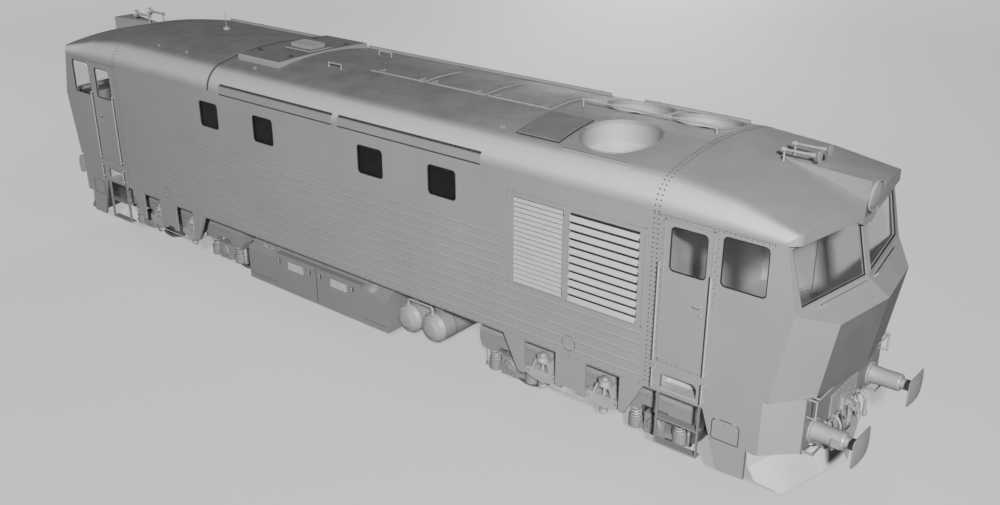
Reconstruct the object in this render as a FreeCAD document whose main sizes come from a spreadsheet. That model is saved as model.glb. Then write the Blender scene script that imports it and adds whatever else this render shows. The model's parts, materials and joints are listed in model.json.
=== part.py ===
"""Four-axle diesel locomotive with a cab at each end, as a parametric document in millimetres.

+X runs towards the front cab, -Y is the right-hand side and +Z is up. The origin lies at the
middle of the length and width, on the plane that the wheel flanges reach down to.
"""
import FreeCAD, Part
import math
import os
import Sketcher

Vector = FreeCAD.Vector
Rotation = FreeCAD.Rotation

SIZE_TABLE = (
    # name, millimetres (or degrees), what it is
    ("buffer_face_x", 8250, "middle to the buffer faces"),
    ("body_half_width", 1516, "middle to the outside of the walls"),
    ("wall_thickness", 40, "side walls, cab panels"),
    ("roof_thickness", 40, "roof shells"),
    ("sill_height", 1228, "underside of the body walls"),
    ("eave_height", 3560, "top of the walls"),
    ("crown_rise", 552, "top of the roof above the eave, on the centre line"),
    ("crown_radius", 5040, "curve of the roof over the engine room"),
    ("cab_seam_x", 5710, "joint between the engine room and a cab"),
    ("floor_thickness", 40, "plate on the underframe"),
    # cab nose
    ("screen_foot_height", 2783, "foot of the windscreens"),
    ("screen_foot_x", 7736, "foot of the windscreens on the centre line"),
    ("screen_top_side_x", 7334, "front edge of the side wall at the eave"),
    ("ridge_height", 2600, "ridge of the nose"),
    ("ridge_centre_x", 8000, "ridge on the centre line"),
    ("ridge_corner_x", 7850, "ridge at its corner"),
    ("nose_corner_y", 1030, "corner of the nose"),
    ("nose_low_height", 1610, "underside of the nose"),
    ("nose_low_centre_x", 7840, "underside on the centre line"),
    ("nose_low_side_x", 7324, "underside at the side wall"),
    ("cab_base_x", 7259, "front of the cab base"),
    ("cab_floor_height", 1640, "floor that the crew stands on"),
    ("screen_head_drop", 60, "top of the windscreen openings below the eave"),
    ("screen_sill_rise", 55, "bottom of the windscreen openings above their foot"),
    ("screen_post_y", 75, "centre pillar, half width"),
    ("screen_side_low_y", 1375, "outer corner of a windscreen, bottom"),
    ("screen_side_high_y", 1435, "outer corner of a windscreen, top"),
    ("window_corner_radius", 60, "rounded window corners"),
    ("glass_thickness", 8, "panes"),
    # cab roof
    ("cab_roof_mid_x", 6600, "middle section of the cab roof"),
    ("cab_roof_mid_rise", 440, "its crown above the eave"),
    ("cab_roof_mid_radius", 6600, "its crown radius"),
    ("cab_roof_end_x", 7750, "end section of the cab roof"),
    ("cab_roof_end_rise", 206, "its crown above the eave"),
    ("cab_roof_end_radius", 7800, "its crown radius"),
    ("brow_centre_x", 7680, "front of the brow on the centre line"),
    ("brow_corner_x", 7465, "front of the brow where its corner starts"),
    ("brow_corner_radius", 176, "rounded corner of the brow"),
    ("lamp_rise", 458, "level top of the lamp fairing above the eave"),
    ("lamp_tip_x", 6352, "rear tip of the lamp fairing"),
    ("lamp_front_x", 7674, "front of the lamp fairing at its top"),
    ("lamp_half_width", 200, "lamp fairing at its front"),
    ("lamp_drop", 120, "foot of the lamp fairing below the eave"),
    ("lamp_lean", 5, "degrees that the lamp faces downwards"),
    ("lamp_ring_radius", 205, "ring round the lamp"),
    ("lens_radius", 170, "lamp lens"),
    # cab side
    ("door_rear_x", 5835, "rear edge of the door opening"),
    ("door_front_x", 6480, "front edge of the door opening"),
    ("door_sill_height", 1672, "bottom of the door opening"),
    ("door_head_drop", 45, "top of the door opening below the eave"),
    ("door_gap", 8, "gap round a door leaf"),
    ("door_handle_height", 2535, "door handles"),
    ("cab_skirt_low", 470, "foot of the cab skirts"),
    ("cab_skirt_front_x", 7106, "front edge of the cab skirts"),
    ("door_window_rear_x", 5914, "door window"),
    ("door_window_front_x", 6400, "door window"),
    ("window_sill_drop", 686, "bottom of the cab side windows below the eave"),
    ("door_window_drop", 123, "top of the door window below the eave"),
    ("side_window_rear_x", 6585, "cab side window"),
    ("side_window_front_low_x", 7165, "cab side window, front bottom corner"),
    ("side_window_front_high_x", 7145, "cab side window, front top corner"),
    ("side_window_drop", 70, "top of the cab side window below the eave"),
    ("hinge_offset", 14, "hinge axis behind the inside face of the wall"),
    ("hinge_pin_radius", 6, "hinge pins"),
    ("hinge_knuckle_radius", 11, "hinge knuckles"),
    ("hinge_knuckle_length", 60, "hinge knuckles"),
    ("running_clearance", 0.1, "radial clearance of pins and journals"),
    ("seat_gap", 0.3, "gap between faces that turn on each other"),
    # engine room walls
    ("room_window_drop", 191, "top of the engine room windows below the eave"),
    ("room_window_height", 436, "engine room windows"),
    ("grille_drop", 310, "top of the side grilles below the eave"),
    ("grille_height", 1212, "side grilles"),
    ("fine_grille_rear_x", 3569, "fine grille"),
    ("fine_grille_front_x", 4365, "fine grille"),
    ("louvre_rear_x", 4474, "coarse louvres"),
    ("louvre_front_x", 5497, "coarse louvres"),
    ("louvre_reach", 28, "louvre blades stand out of the wall"),
    ("skirt_low", 714, "underside of the skirts"),
    ("skirt_notch", 57, "notch in the foot of each skirt"),
    ("slot_rise", 138, "bottom of the upper air slot above the eave"),
    ("slot_height", 26, "upper air slots"),
    ("slot_depth", 45, "upper air slots, from the outside of the wall"),
    ("cover_thickness", 14, "flat covers between the air slots"),
    # bogies
    ("pivot_x", 4500, "bogie pivots"),
    ("half_wheelbase", 1200, "pivot to axle"),
    ("wheel_radius", 500, "wheel tread"),
    ("flange_radius", 528, "wheel flange"),
    ("wheel_back_y", 680, "inner faces of the wheels"),
    ("wheel_width", 135, "wheel rims"),
    ("axle_radius", 85, "axle body"),
    ("journal_radius", 65, "axle journals"),
    ("journal_end_y", 1225, "ends of the axles"),
    ("frame_inner_y", 1060, "bogie side frame, inside"),
    ("frame_outer_y", 1240, "bogie side frame, outside"),
    ("frame_half_length", 1760, "pivot to the end of a bogie frame"),
    ("frame_low", 680, "bogie side frame, underside"),
    ("frame_top", 1010, "bogie side frame, top"),
    ("frame_round", 80, "rounded upper edge of the side frame"),
    ("transom_half_length", 300, "bogie transom"),
    ("transom_low", 560, "bogie transom, underside"),
    ("pivot_pin_radius", 90, "king pin"),
    ("pivot_plate_radius", 280, "centre plates"),
    ("spring_offset", 330, "axle to coil spring"),
    ("spring_radius", 80, "coil springs"),
    ("spring_y", 1150, "coil springs and axle boxes"),
    ("spring_seat", 500, "springs stand on this height"),
    ("cup_low", 357, "underside of the spring cups"),
    ("cup_radius", 98, "spring cups"),
    ("damper_offset", 470, "axle to damper"),
    ("damper_radius", 34, "dampers"),
    ("hanger_offset", 508, "pivot to the swing hangers"),
    ("hanger_y", 1380, "swing hangers"),
    ("hanger_disc_radius", 88, "washers of the swing hangers"),
    ("sill_beam_inner_y", 950, "underframe beams"),
    ("sill_beam_outer_y", 1100, "underframe beams"),
    ("sill_beam_low", 1070, "underframe beams, underside"),
    # ends
    ("headstock_face_x", 7630, "front of the headstock"),
    ("headstock_half_width", 1148, "headstock"),
    ("headstock_low", 900, "headstock"),
    ("step_reach", 127, "coupler's steps stand out of the headstock"),
    ("buffer_y", 875, "buffers"),
    ("buffer_height", 1078, "buffers and draw hook"),
    ("buffer_head_width", 506, "buffer heads"),
    ("buffer_head_height", 370, "buffer heads"),
    ("plough_low", 262, "plough blade, bottom"),
    ("plough_top", 881, "plough blade, top"),
    ("plough_centre_x", 7800, "plough nose at the bottom"),
    ("plough_sweep", 0.258, "plough blade runs back by this share of the width"),
    ("plough_reach", 282, "bottom of the blade in front of its top"),
    ("plough_corner_height", 500, "height where the corner of the blade is cut off"),
    ("plough_corner_y", 1200, "width where the corner of the blade is cut off"),
    # fans
    ("fan_depth", 640, "fan wells below the crown"),
    ("fan_rim_depth", 300, "upright part of the fan wells below the crown"),
    ("fan_throat_inset", 190, "fan wells narrow by this much on the radius"),
    ("large_fan_radius", 510, "large fan opening"),
    ("small_fan_radius", 460, "small fan openings"),
    # underfloor
    ("box_half_width", 1420, "equipment box under the floor"),
    ("box_low", 360, "equipment box, underside"),
    ("box_shoulder", 910, "equipment box, top of its upright side"),
    ("box_rear_x", -2350, "equipment box"),
    ("box_front_x", 1010, "equipment box"),
    ("reservoir_radius", 240, "air reservoirs"),
    ("reservoir_height", 620, "air reservoirs"),
    ("rail_stand", 60, "handrails stand off the wall"),
    ("rail_radius", 14, "handrails"),
    ("end_rail_stand", 102, "rails stand off the headstock"),
    ("hatch_rear_x", -2720, "exhaust hatch"),
    ("hatch_front_x", -1700, "exhaust hatch"),
    ("hatch_half_width", 950, "exhaust hatch"),
    ("hatch_rise", 30, "exhaust hatch above the crown"),
    ("hatch_radius", 17000, "curve of the exhaust hatch"),
    ("strip_height", 40, "drip strips on the roof"),
    ("eye_radius", 12, "holes of the lifting eyes"),
    ("eye_thickness", 14, "lifting eyes"),
)

doc = FreeCAD.newDocument("DieselLocomotive")
sheet = doc.addObject("Spreadsheet::Sheet", "Sizes")


class Size:
    """A number that remembers the sheet formula it comes from."""

    def __init__(self, value, text):
        self.value = value
        self.text = text

    def __add__(self, other):
        other = as_size(other)
        return Size(self.value + other.value, f"({self.text} + {other.text})")

    def __sub__(self, other):
        other = as_size(other)
        return Size(self.value - other.value, f"({self.text} - {other.text})")

    def __mul__(self, other):
        other = as_size(other)
        return Size(self.value * other.value, f"({self.text} * {other.text})")

    def __truediv__(self, other):
        other = as_size(other)
        return Size(self.value / other.value, f"({self.text} / {other.text})")

    def __radd__(self, other):
        return as_size(other) + self

    def __rsub__(self, other):
        return as_size(other) - self

    def __rmul__(self, other):
        return as_size(other) * self

    def __neg__(self):
        return Size(-self.value, f"(0 - {self.text})")

    def root(self):
        return Size(math.sqrt(self.value), f"sqrt({self.text})")


def as_size(value):
    if isinstance(value, Size):
        return value
    return Size(float(value), f"({float(value)!r})")


class SizeTable:
    """The sheet's cells by name."""

    def __init__(self, table):
        self.cells = {}
        for row, (name, value, meaning) in enumerate(table, start=1):
            sheet.set(f"A{row}", meaning)
            sheet.set(f"B{row}", str(value))
            sheet.setAlias(f"B{row}", name)
            self.cells[name] = Size(float(value), f"Sizes.{name}")

    def __getattr__(self, name):
        return self.cells[name]


s = SizeTable(SIZE_TABLE)
doc.recompute()


# ---- building blocks -------------------------------------------------------------------------

def bind(thing, prop, value):
    """Ties one property to its formula."""
    thing.setExpression(prop, as_size(value).text)


def place(thing, at, rotation=None):
    """Puts a thing at a point whose coordinates stay formulas."""
    at = [as_size(value) for value in at]
    base = Vector(*[value.value for value in at])
    thing.Placement = FreeCAD.Placement(base, rotation or Rotation())
    for axis, value in zip("xyz", at):
        bind(thing, f"Placement.Base.{axis}", value)


def new_object(kind, name):
    thing = doc.addObject(kind, name)
    thing.Label = name
    return thing


def block(name, x_range, y_range, z_range):
    """A box between two limits on each axis."""
    box = new_object("Part::Box", name)
    low = [as_size(limits[0]) for limits in (x_range, y_range, z_range)]
    high = [as_size(limits[1]) for limits in (x_range, y_range, z_range)]
    for prop, start, end in zip(("Length", "Width", "Height"), low, high):
        setattr(box, prop, end.value - start.value)
        bind(box, prop, end - start)
    place(box, low)
    return box


AXIS_TURNS = {
    "x": Rotation(Vector(0, 1, 0), 90),
    "y": Rotation(Vector(1, 0, 0), -90),
    "z": Rotation(),
}


def rod(name, axis, at, length, radius):
    """A round bar that starts at a point and runs along an axis."""
    bar = new_object("Part::Cylinder", name)
    bar.Radius = as_size(radius).value
    bar.Height = as_size(length).value
    bind(bar, "Radius", radius)
    bind(bar, "Height", length)
    place(bar, at, AXIS_TURNS[axis])
    return bar


def arc_between(start, end, radius):
    """Sketch arc from start to end; a positive radius bends it to the left of the way it runs."""
    chord = end - start
    rise = math.sqrt(max(radius ** 2 - (chord.Length / 2) ** 2, 0.0))
    left = Vector(-chord.y, chord.x, 0).normalize()
    side = 1 if radius > 0 else -1
    centre = (start + end) * 0.5 + left * (rise * side)
    circle = Part.Circle(centre, Vector(0, 0, 1), abs(radius))
    angles = [math.atan2(p.y - centre.y, p.x - centre.x) for p in (start, end)]
    if radius < 0:
        angles.reverse()
    if angles[1] < angles[0]:
        angles[1] += 2 * math.pi
    return Part.ArcOfCircle(circle, angles[0], angles[1])


def draw_outline(sketch, outline):
    """Closed outline: each entry is (u, v) or (u, v, radius of the arc that leads to the next)."""
    corners = [tuple(as_size(value) for value in entry) for entry in outline]
    points = [Vector(corner[0].value, corner[1].value, 0) for corner in corners]
    first = sketch.GeometryCount
    ends = []
    constraints = []
    formulas = []
    for number, corner in enumerate(corners):
        start = points[number]
        end = points[(number + 1) % len(points)]
        if len(corner) == 3:
            sketch.addGeometry(arc_between(start, end, corner[2].value), False)
            ends.append((1, 2) if corner[2].value > 0 else (2, 1))
            radius = corner[2] if corner[2].value > 0 else -corner[2]
            constraints.append(Sketcher.Constraint("Radius", first + number, radius.value))
            formulas.append(radius.text)
        else:
            sketch.addGeometry(Part.LineSegment(start, end), False)
            ends.append((1, 2))
    for number, corner in enumerate(corners):
        begin = ends[number][0]
        for kind, value in (("DistanceX", corner[0]), ("DistanceY", corner[1])):
            constraints.append(Sketcher.Constraint(kind, first + number, begin, value.value))
            formulas.append(value.text)
    for number in range(len(corners)):
        after = (number + 1) % len(corners)
        joined = (first + number, ends[number][1], first + after, ends[after][0])
        constraints.append(Sketcher.Constraint("Coincident", *joined))
        formulas.append("")
    start_index = sketch.ConstraintCount
    sketch.addConstraint(constraints)
    for offset, text in enumerate(formulas):
        if text:
            sketch.setExpression(f"Constraints[{start_index + offset}]", text)


PLANE_TURNS = {
    "xy": Rotation(),
    "xz": Rotation(Vector(1, 0, 0), 90),
    "yz": Rotation(Vector(1, 1, 1), 120),
}


def plane_origin(plane, level):
    return {"xy": (0, 0, level), "xz": (0, level, 0), "yz": (level, 0, 0)}[plane]


def sketch_on(name, plane, level, outlines):
    """A sketch with one or more closed outlines, parallel to a main plane at a level."""
    sketch = new_object("Sketcher::SketchObject", name)
    place(sketch, plane_origin(plane, level), PLANE_TURNS[plane])
    for outline in outlines:
        draw_outline(sketch, outline)
    return sketch


def prism(name, plane, outlines, low, high):
    """Outlines drawn in a main plane and extruded between two levels across it."""
    start = high if plane == "xz" else low
    if isinstance(outlines[0], tuple):
        outlines = [outlines]
    sketch = sketch_on(name + "_sketch", plane, start, outlines)
    solid = new_object("Part::Extrusion", name)
    solid.Base = sketch
    solid.DirMode = "Normal"
    solid.Solid = True
    solid.LengthFwd = as_size(high).value - as_size(low).value
    bind(solid, "LengthFwd", as_size(high) - low)
    return solid


TURNING_TURNS = {
    "x": Rotation(),
    "y": Rotation(Vector(0, 0, 1), 90),
    "z": Rotation(Vector(0, 1, 0), -90),
    "-x": Rotation(Vector(0, 0, 1), 180),
}


def turned(name, direction, at, outline):
    """A body revolved from an outline of (distance along the axis, radius)."""
    body = new_object("PartDesign::Body", name)
    sketch = body.newObject("Sketcher::SketchObject", name + "_profile")
    planes = [item for item in body.Origin.OriginFeatures if item.Role == "XY_Plane"]
    sketch.AttachmentSupport = [(planes[0], "")]
    sketch.MapMode = "FlatFace"
    draw_outline(sketch, outline)
    revolution = body.newObject("PartDesign::Revolution", name + "_revolution")
    revolution.Profile = sketch
    revolution.ReferenceAxis = (sketch, ["H_Axis"])
    revolution.Angle = 360
    body.Tip = revolution
    place(body, at, TURNING_TURNS[direction])
    return body


def fused(name, parts):
    joint = new_object("Part::MultiFuse", name)
    joint.Shapes = parts
    joint.Refine = True
    return joint


def together(name, parts):
    """Separate solids of one sub-part."""
    group = new_object("Part::Compound", name)
    group.Links = parts
    return group


def cut(name, base, tools):
    if len(tools) == 1:
        tool = tools[0]
    else:
        tool = fused(name + "_tools", tools)
    result = new_object("Part::Cut", name)
    result.Base = base
    result.Tool = tool
    return result


def shared(name, first, second):
    result = new_object("Part::Common", name)
    result.Base = first
    result.Tool = second
    return result


def mirrored(name, source, normal):
    copy = new_object("Part::Mirroring", name)
    copy.Source = source
    copy.Normal = Vector(*normal)
    return copy


ACROSS = (0, 1, 0)
ALONG = (1, 0, 0)


def both_sides(name, source):
    return [source, mirrored(name, source, ACROSS)]


def shaped(name, shape):
    """A sub-part whose shape comes from planes that no sketch or primitive gives directly."""
    part = new_object("Part::Feature", name)
    part.Shape = shape
    part.Placement = FreeCAD.Placement()
    return part


def rounded_rectangle(low_u, high_u, low_v, high_v, radius):
    """Outline with four rounded corners, drawn anticlockwise."""
    low_u, high_u = as_size(low_u), as_size(high_u)
    low_v, high_v = as_size(low_v), as_size(high_v)
    radius = as_size(radius)
    return [
        (low_u + radius, low_v),
        (high_u - radius, low_v, radius),
        (high_u, low_v + radius),
        (high_u, high_v - radius, radius),
        (high_u - radius, high_v),
        (low_u + radius, high_v, radius),
        (low_u, high_v - radius),
        (low_u, low_v + radius, radius),
    ]


crown_height = s.eave_height + s.crown_rise
screen_sill = s.screen_foot_height + s.screen_sill_rise
screen_head = s.eave_height - s.screen_head_drop
door_head = s.eave_height - s.door_head_drop
window_sill = s.eave_height - s.window_sill_drop
door_window_head = s.eave_height - s.door_window_drop
side_window_head = s.eave_height - s.side_window_drop
room_window_head = s.eave_height - s.room_window_drop
room_window_sill = room_window_head - s.room_window_height
grille_high = s.eave_height - s.grille_drop
grille_low = grille_high - s.grille_height
brow_corner_y = s.body_half_width - s.brow_corner_radius
inner_half_width = s.body_half_width - s.wall_thickness
floor_low = s.sill_height - s.floor_thickness
plate_back_x = s.headstock_face_x - s.wall_thickness


# ---- roof sections ---------------------------------------------------------------------------

def roof_section(half_width, crown, radius, base, foot=None):
    """Crown arc and shoulder arcs that meet the walls upright at the base, closed at the foot."""
    rise = crown - base
    squares = radius * radius - half_width * half_width - (radius - rise) * (radius - rise)
    shoulder = squares / (2 * (radius - half_width))
    share = (half_width - shoulder) / (radius - shoulder)
    meet_y = radius * share
    meet_z = crown - radius + (radius * radius - meet_y * meet_y).root()
    skin = [
        (half_width, base, shoulder),
        (meet_y, meet_z, radius),
        (-meet_y, meet_z, shoulder),
        (-half_width, base),
    ]
    if foot is None:
        return skin
    return [(-half_width, foot), (half_width, foot)] + skin


def room_roof_section(raised, foot=None):
    """Section of the engine room roof, moved outwards or inwards."""
    return roof_section(s.body_half_width + raised, crown_height + raised,
                        s.crown_radius + raised, s.eave_height, foot)


def roof_ring(name, low_raise, high_raise, rear_x, front_x, half_width):
    """Plate that follows the roof between two heights above it."""
    thick = prism(name + "_over", "yz", room_roof_section(as_size(high_raise), s.eave_height - 100),
                  rear_x, front_x)
    under = prism(name + "_under", "yz", room_roof_section(as_size(low_raise), s.eave_height - 200),
                  rear_x - 10, front_x + 10)
    ring = cut(name + "_ring", thick, [under])
    strip = block(name + "_strip", (rear_x, front_x), half_width, (s.eave_height, crown_height + 500))
    return shared(name, ring, strip)


# ---- engine room: walls, roof, bulkheads -----------------------------------------------------

ROOM_WINDOWS = (
    # rear edge x, front edge x
    (-3185, -2694),
    (-1782, -1287),
    (633, 1155),
    (2040, 2561),
)
SKIRT_TOP = (3397, 5667)
SKIRT_FOOT = (3661, 5396)
SKIRT_NOTCH = (4405, 4635)
SKIRT_WINDOWS = (
    # rear edge x, front edge x
    (3766, 4299),
    (4782, 5311),
)


def wall_outline():
    """Side wall with a skirt over each bogie."""
    lower = []
    for end in (-1, 1):
        rear, front = (0, 1) if end > 0 else (1, 0)
        lower.append((end * SKIRT_TOP[rear], s.sill_height))
        lower.append((end * SKIRT_FOOT[rear], s.skirt_low))
        for x, rise in ((SKIRT_NOTCH[rear], 0), (SKIRT_NOTCH[rear], s.skirt_notch),
                        (SKIRT_NOTCH[front], s.skirt_notch), (SKIRT_NOTCH[front], 0)):
            lower.append((end * x, s.skirt_low + rise))
        lower.append((end * SKIRT_FOOT[front], s.skirt_low))
        lower.append((end * SKIRT_TOP[front], s.sill_height))
    ends = [(s.cab_seam_x, s.sill_height), (s.cab_seam_x, s.eave_height)]
    return [(-s.cab_seam_x, s.sill_height)] + lower + ends + [(-s.cab_seam_x, s.eave_height)]


def window_outlines():
    return [rounded_rectangle(rear, front, room_window_sill, room_window_head,
                              s.window_corner_radius) for rear, front in ROOM_WINDOWS]


def make_side_walls():
    wall_y = (-s.body_half_width, -inner_half_width)
    plate = prism("wall_plate", "xz", wall_outline(), *wall_y)
    skirt_holes = []
    for rear, front in SKIRT_WINDOWS:
        for end in (-1, 1):
            low, high = sorted((end * rear, end * front))
            skirt_holes.append([(low, s.skirt_low - 20), (high, s.skirt_low - 20),
                                (high, s.sill_height), (low, s.sill_height)])
    grille_holes = [[(rear, grille_low), (front, grille_low), (front, grille_high),
                     (rear, grille_high)]
                    for rear, front in ((s.fine_grille_rear_x, s.fine_grille_front_x),
                                        (s.louvre_rear_x, s.louvre_front_x))]
    holes = prism("wall_holes", "xz", window_outlines() + skirt_holes + grille_holes,
                  -s.body_half_width - 10, -inner_half_width + 10)
    right = cut("side_wall_right", plate, [holes])
    left = mirrored("side_wall_left", right, ACROSS)
    middle_y = -(s.body_half_width + inner_half_width) / 2
    panes = prism("room_panes", "xz", window_outlines(), middle_y - s.glass_thickness / 2,
                  middle_y + s.glass_thickness / 2)
    glass = together("engine_room_glass", both_sides("room_panes_left", panes))
    return [right, left, glass]


def make_grilles():
    """Coarse weather louvres beside a finer grille, both on an upright frame."""
    wall = -s.body_half_width
    blades = []
    coarse_count = 11
    pitch = (grille_high - grille_low) / coarse_count
    for number in range(coarse_count):
        foot = grille_low + pitch * number
        outline = [
            (wall - s.louvre_reach, foot + 6),
            (wall - s.louvre_reach + 8, foot + 2),
            (wall + 32, foot + pitch - 12),
            (wall + 32, foot + pitch - 4),
            (wall + 24, foot + pitch - 4),
            (wall - s.louvre_reach, foot + 14),
        ]
        blades.append(prism(f"louvre_blade_{number}", "yz", outline, s.louvre_rear_x,
                            s.louvre_front_x))
    fine_count = 18
    fine_pitch = (grille_high - grille_low) / fine_count
    for number in range(fine_count):
        foot = grille_low + fine_pitch * number
        outline = [
            (wall + 2, foot + 3),
            (wall + 7, foot + 3),
            (wall + 30, foot + fine_pitch * 0.8),
            (wall + 25, foot + fine_pitch * 0.8),
        ]
        blades.append(prism(f"fine_blade_{number}", "yz", outline, s.fine_grille_rear_x,
                            s.fine_grille_front_x))
    right = together("side_grille_right", blades)
    left = mirrored("side_grille_left", right, ACROSS)
    return [right, left]


FANS = (
    # name, centre x, centre y, large
    ("large", 4600, -634, True),
    ("rear", 4080, 630, False),
    ("front", 5130, 630, False),
)


def fan_radius(large):
    return s.large_fan_radius if large else s.small_fan_radius


AIR_COVERS = (
    # rear edge x, front edge x
    (-2600, 110),
    (240, 3000),
)


def make_centre_roof():
    """Roof over the engine room with its fan openings and the covered air slots above the wall."""
    half = s.body_half_width
    slot_low = s.eave_height + s.slot_rise
    skin = prism("roof_over", "yz", room_roof_section(as_size(0)), -s.cab_seam_x, s.cab_seam_x)
    covers = []
    slots = []
    for index, (rear, front) in enumerate(AIR_COVERS):
        cover = block(f"air_cover_{index}", (rear, front),
                      (-half, -half + s.cover_thickness + 12), (s.eave_height, slot_low))
        upper = block(f"air_slot_{index}", (rear, front), (-half - 10, -half + s.slot_depth),
                      (slot_low, slot_low + s.slot_height))
        lower = block(f"air_gap_{index}", (rear, front), (-half - 10, -half + s.cover_thickness),
                      (s.eave_height, s.eave_height + 9))
        covers += both_sides(f"air_cover_left_{index}", cover)
        slots += both_sides(f"air_slot_left_{index}", upper)
        slots += both_sides(f"air_gap_left_{index}", lower)
    over = fused("roof_with_covers", [skin] + covers)
    under = prism("roof_under", "yz", room_roof_section(-s.roof_thickness, s.eave_height - 50),
                  -s.cab_seam_x - 10, s.cab_seam_x + 10)
    holes = [rod(f"roof_hole_{name}", "z", (x, y, s.eave_height), s.crown_rise + 100,
                 fan_radius(large)) for name, x, y, large in FANS]
    return cut("centre_roof", over, [under] + slots + holes)


def make_fans():
    """Conical wells under the roof openings with a rotor on a post in each."""
    nodes = []
    wells = []
    well_low = crown_height - s.fan_depth
    inside = prism("roof_inside", "yz", room_roof_section(-s.roof_thickness, s.eave_height - 900),
                   s.pivot_x - 1300, s.pivot_x + 1300)
    for name, x, y, large in FANS:
        radius = fan_radius(large)
        throat = radius - s.fan_throat_inset
        rim = crown_height - s.fan_rim_depth
        neck = rim - s.fan_throat_inset
        shell = turned(f"fan_shell_{name}", "z", (x, y, 0), [
            (neck, throat), (neck - 17, throat), (neck - 17, throat + 17), (rim, radius + 12),
            (crown_height + 100, radius + 12), (crown_height + 100, radius), (rim, radius)])
        trimmed = shared(f"fan_well_{name}", shell, inside)
        post = turned(f"fan_post_{name}", "z", (x, y, 0), [
            (well_low - 260, 0), (well_low - 260, 120), (well_low - 120, 120),
            (well_low - 120, 30), (well_low - 20, 30), (well_low - 20, 0)])
        arms = [block(f"fan_arm_{name}_{axis}", *limits) for axis, limits in (
            ("x", ((x - throat - 6, x + throat + 6), (y - 25, y + 25),
                   (well_low - 220, well_low - 160))),
            ("y", ((x - 25, x + 25), (y - throat - 6, y + throat + 6),
                   (well_low - 220, well_low - 160))))]
        ring = turned(f"fan_ring_{name}", "z", (x, y, 0), [
            (well_low - 240, throat), (well_low - 240, throat + 12),
            (neck, throat + 12), (neck, throat)])
        wells.append(fused(f"fan_case_{name}", [trimmed, ring, post] + arms))
        hub = turned(f"fan_hub_{name}", "z", (x, y, 0), [
            (well_low - 120 + s.seat_gap, 30 + s.running_clearance),
            (well_low - 120 + s.seat_gap, 110), (well_low - 30, 110), (well_low - 10, 80),
            (well_low - 10, 0), (well_low - 20 + s.seat_gap, 0),
            (well_low - 20 + s.seat_gap, 30 + s.running_clearance)])
        blades = []
        for number in range(6):
            blade = new_object("Part::Box", f"fan_blade_{name}_{number}")
            blade.Length = (throat - 20 - 90).value
            blade.Width = 110
            blade.Height = 6
            bind(blade, "Length", throat - 20 - 90)
            turn = Rotation(Vector(0, 0, 1), 60 * number)
            tilt = Rotation(Vector(1, 0, 0), 30)
            offset = turn.multVec(Vector(90, 0, 0)) + turn.multVec(tilt.multVec(Vector(0, -55, -3)))
            place(blade, (x + offset.x, y + offset.y, well_low - 70 + offset.z), turn.multiply(tilt))
            blades.append(blade)
        nodes.append(fused(f"fan_rotor_{name}", [hub] + blades))
    return [together("fan_wells", wells)] + nodes


def make_bulkheads():
    plate = prism("bulkhead_plate", "yz", room_roof_section(-s.roof_thickness, s.sill_height),
                  s.cab_seam_x - s.wall_thickness, s.cab_seam_x)
    return together("bulkheads", [plate, mirrored("bulkhead_rear", plate, ALONG)])


def make_engine():
    return block("engine_block", (-2600, 1600), (-600, 600), (s.sill_height, 2900))


# ---- cabs ------------------------------------------------------------------------------------

def number(value):
    return as_size(value).value


def nose_planes(inset):
    """Sloping planes of the cab front as (point, outward normal), moved inwards by the inset."""
    half = s.body_half_width.value
    rake = number((s.ridge_centre_x - s.nose_low_centre_x) / (s.ridge_height - s.nose_low_height))
    foot_side_x = s.nose_low_side_x.value + rake * number(s.screen_foot_height - s.nose_low_height)
    foot_centre = Vector(s.screen_foot_x.value, 0, s.screen_foot_height.value)
    foot_side = Vector(foot_side_x, -half, s.screen_foot_height.value)
    top_side = Vector(s.screen_top_side_x.value, -half, s.eave_height.value)
    ridge_centre = Vector(s.ridge_centre_x.value, 0, s.ridge_height.value)
    ridge_corner = Vector(s.ridge_corner_x.value, -s.nose_corner_y.value, s.ridge_height.value)
    low_corner = ridge_corner - Vector(rake, 0, 1) * number(s.ridge_height - s.nose_low_height)
    low_side = Vector(s.nose_low_side_x.value, -half, s.nose_low_height.value)
    corners = {
        "screen": (foot_centre, foot_side, top_side),
        "apron": (foot_centre, ridge_corner, ridge_centre),
        "front": (ridge_centre, ridge_corner, low_corner),
        "chamfer": (ridge_corner, low_corner, low_side),
    }
    planes = {}
    for name, (first, second, third) in corners.items():
        normal = (second - first).cross(third - first).normalize()
        if normal.x < 0:
            normal = -normal
        moved = first - normal * inset
        planes[name] = [(moved, normal), (Vector(moved.x, -moved.y, moved.z),
                                          Vector(normal.x, -normal.y, normal.z))]
    return planes


def outside_of(point, normal):
    """Large block that covers everything in front of a plane."""
    reach = 12000
    cover = Part.makeBox(reach, reach, reach, Vector(-reach / 2, -reach / 2, 0))
    cover.Placement = FreeCAD.Placement(point, Rotation(Vector(0, 0, 1), normal))
    return cover


def clipped_block(x_range, half_width, z_range, planes):
    solid = Part.makeBox(x_range[1] - x_range[0], 2 * half_width, z_range[1] - z_range[0],
                         Vector(x_range[0], -half_width, z_range[0]))
    for point, normal in planes:
        solid = solid.cut(outside_of(point, normal))
    return solid


def cab_volume(inset, base_low, margin=0.0):
    """Solid inside the cab panels: base, nose and windscreen part, moved inwards by the inset.

    The margin makes it wider and longer at the back, for use as a cutting tool.
    """
    planes = nose_planes(inset)
    half = s.body_half_width.value - inset + margin
    rear = s.cab_seam_x.value - margin
    foot = s.screen_foot_height.value
    nose_low = s.nose_low_height.value + inset
    far_x = s.buffer_face_x.value
    nose = clipped_block((rear, far_x), half, (nose_low, foot),
                         planes["apron"] + planes["front"] + planes["chamfer"])
    upper = clipped_block((rear, far_x), half, (foot, s.eave_height.value), planes["screen"])
    base = clipped_block((rear, s.cab_base_x.value - inset), half, (base_low, nose_low), [])
    return nose.fuse([upper, base]).removeSplitter()


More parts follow.
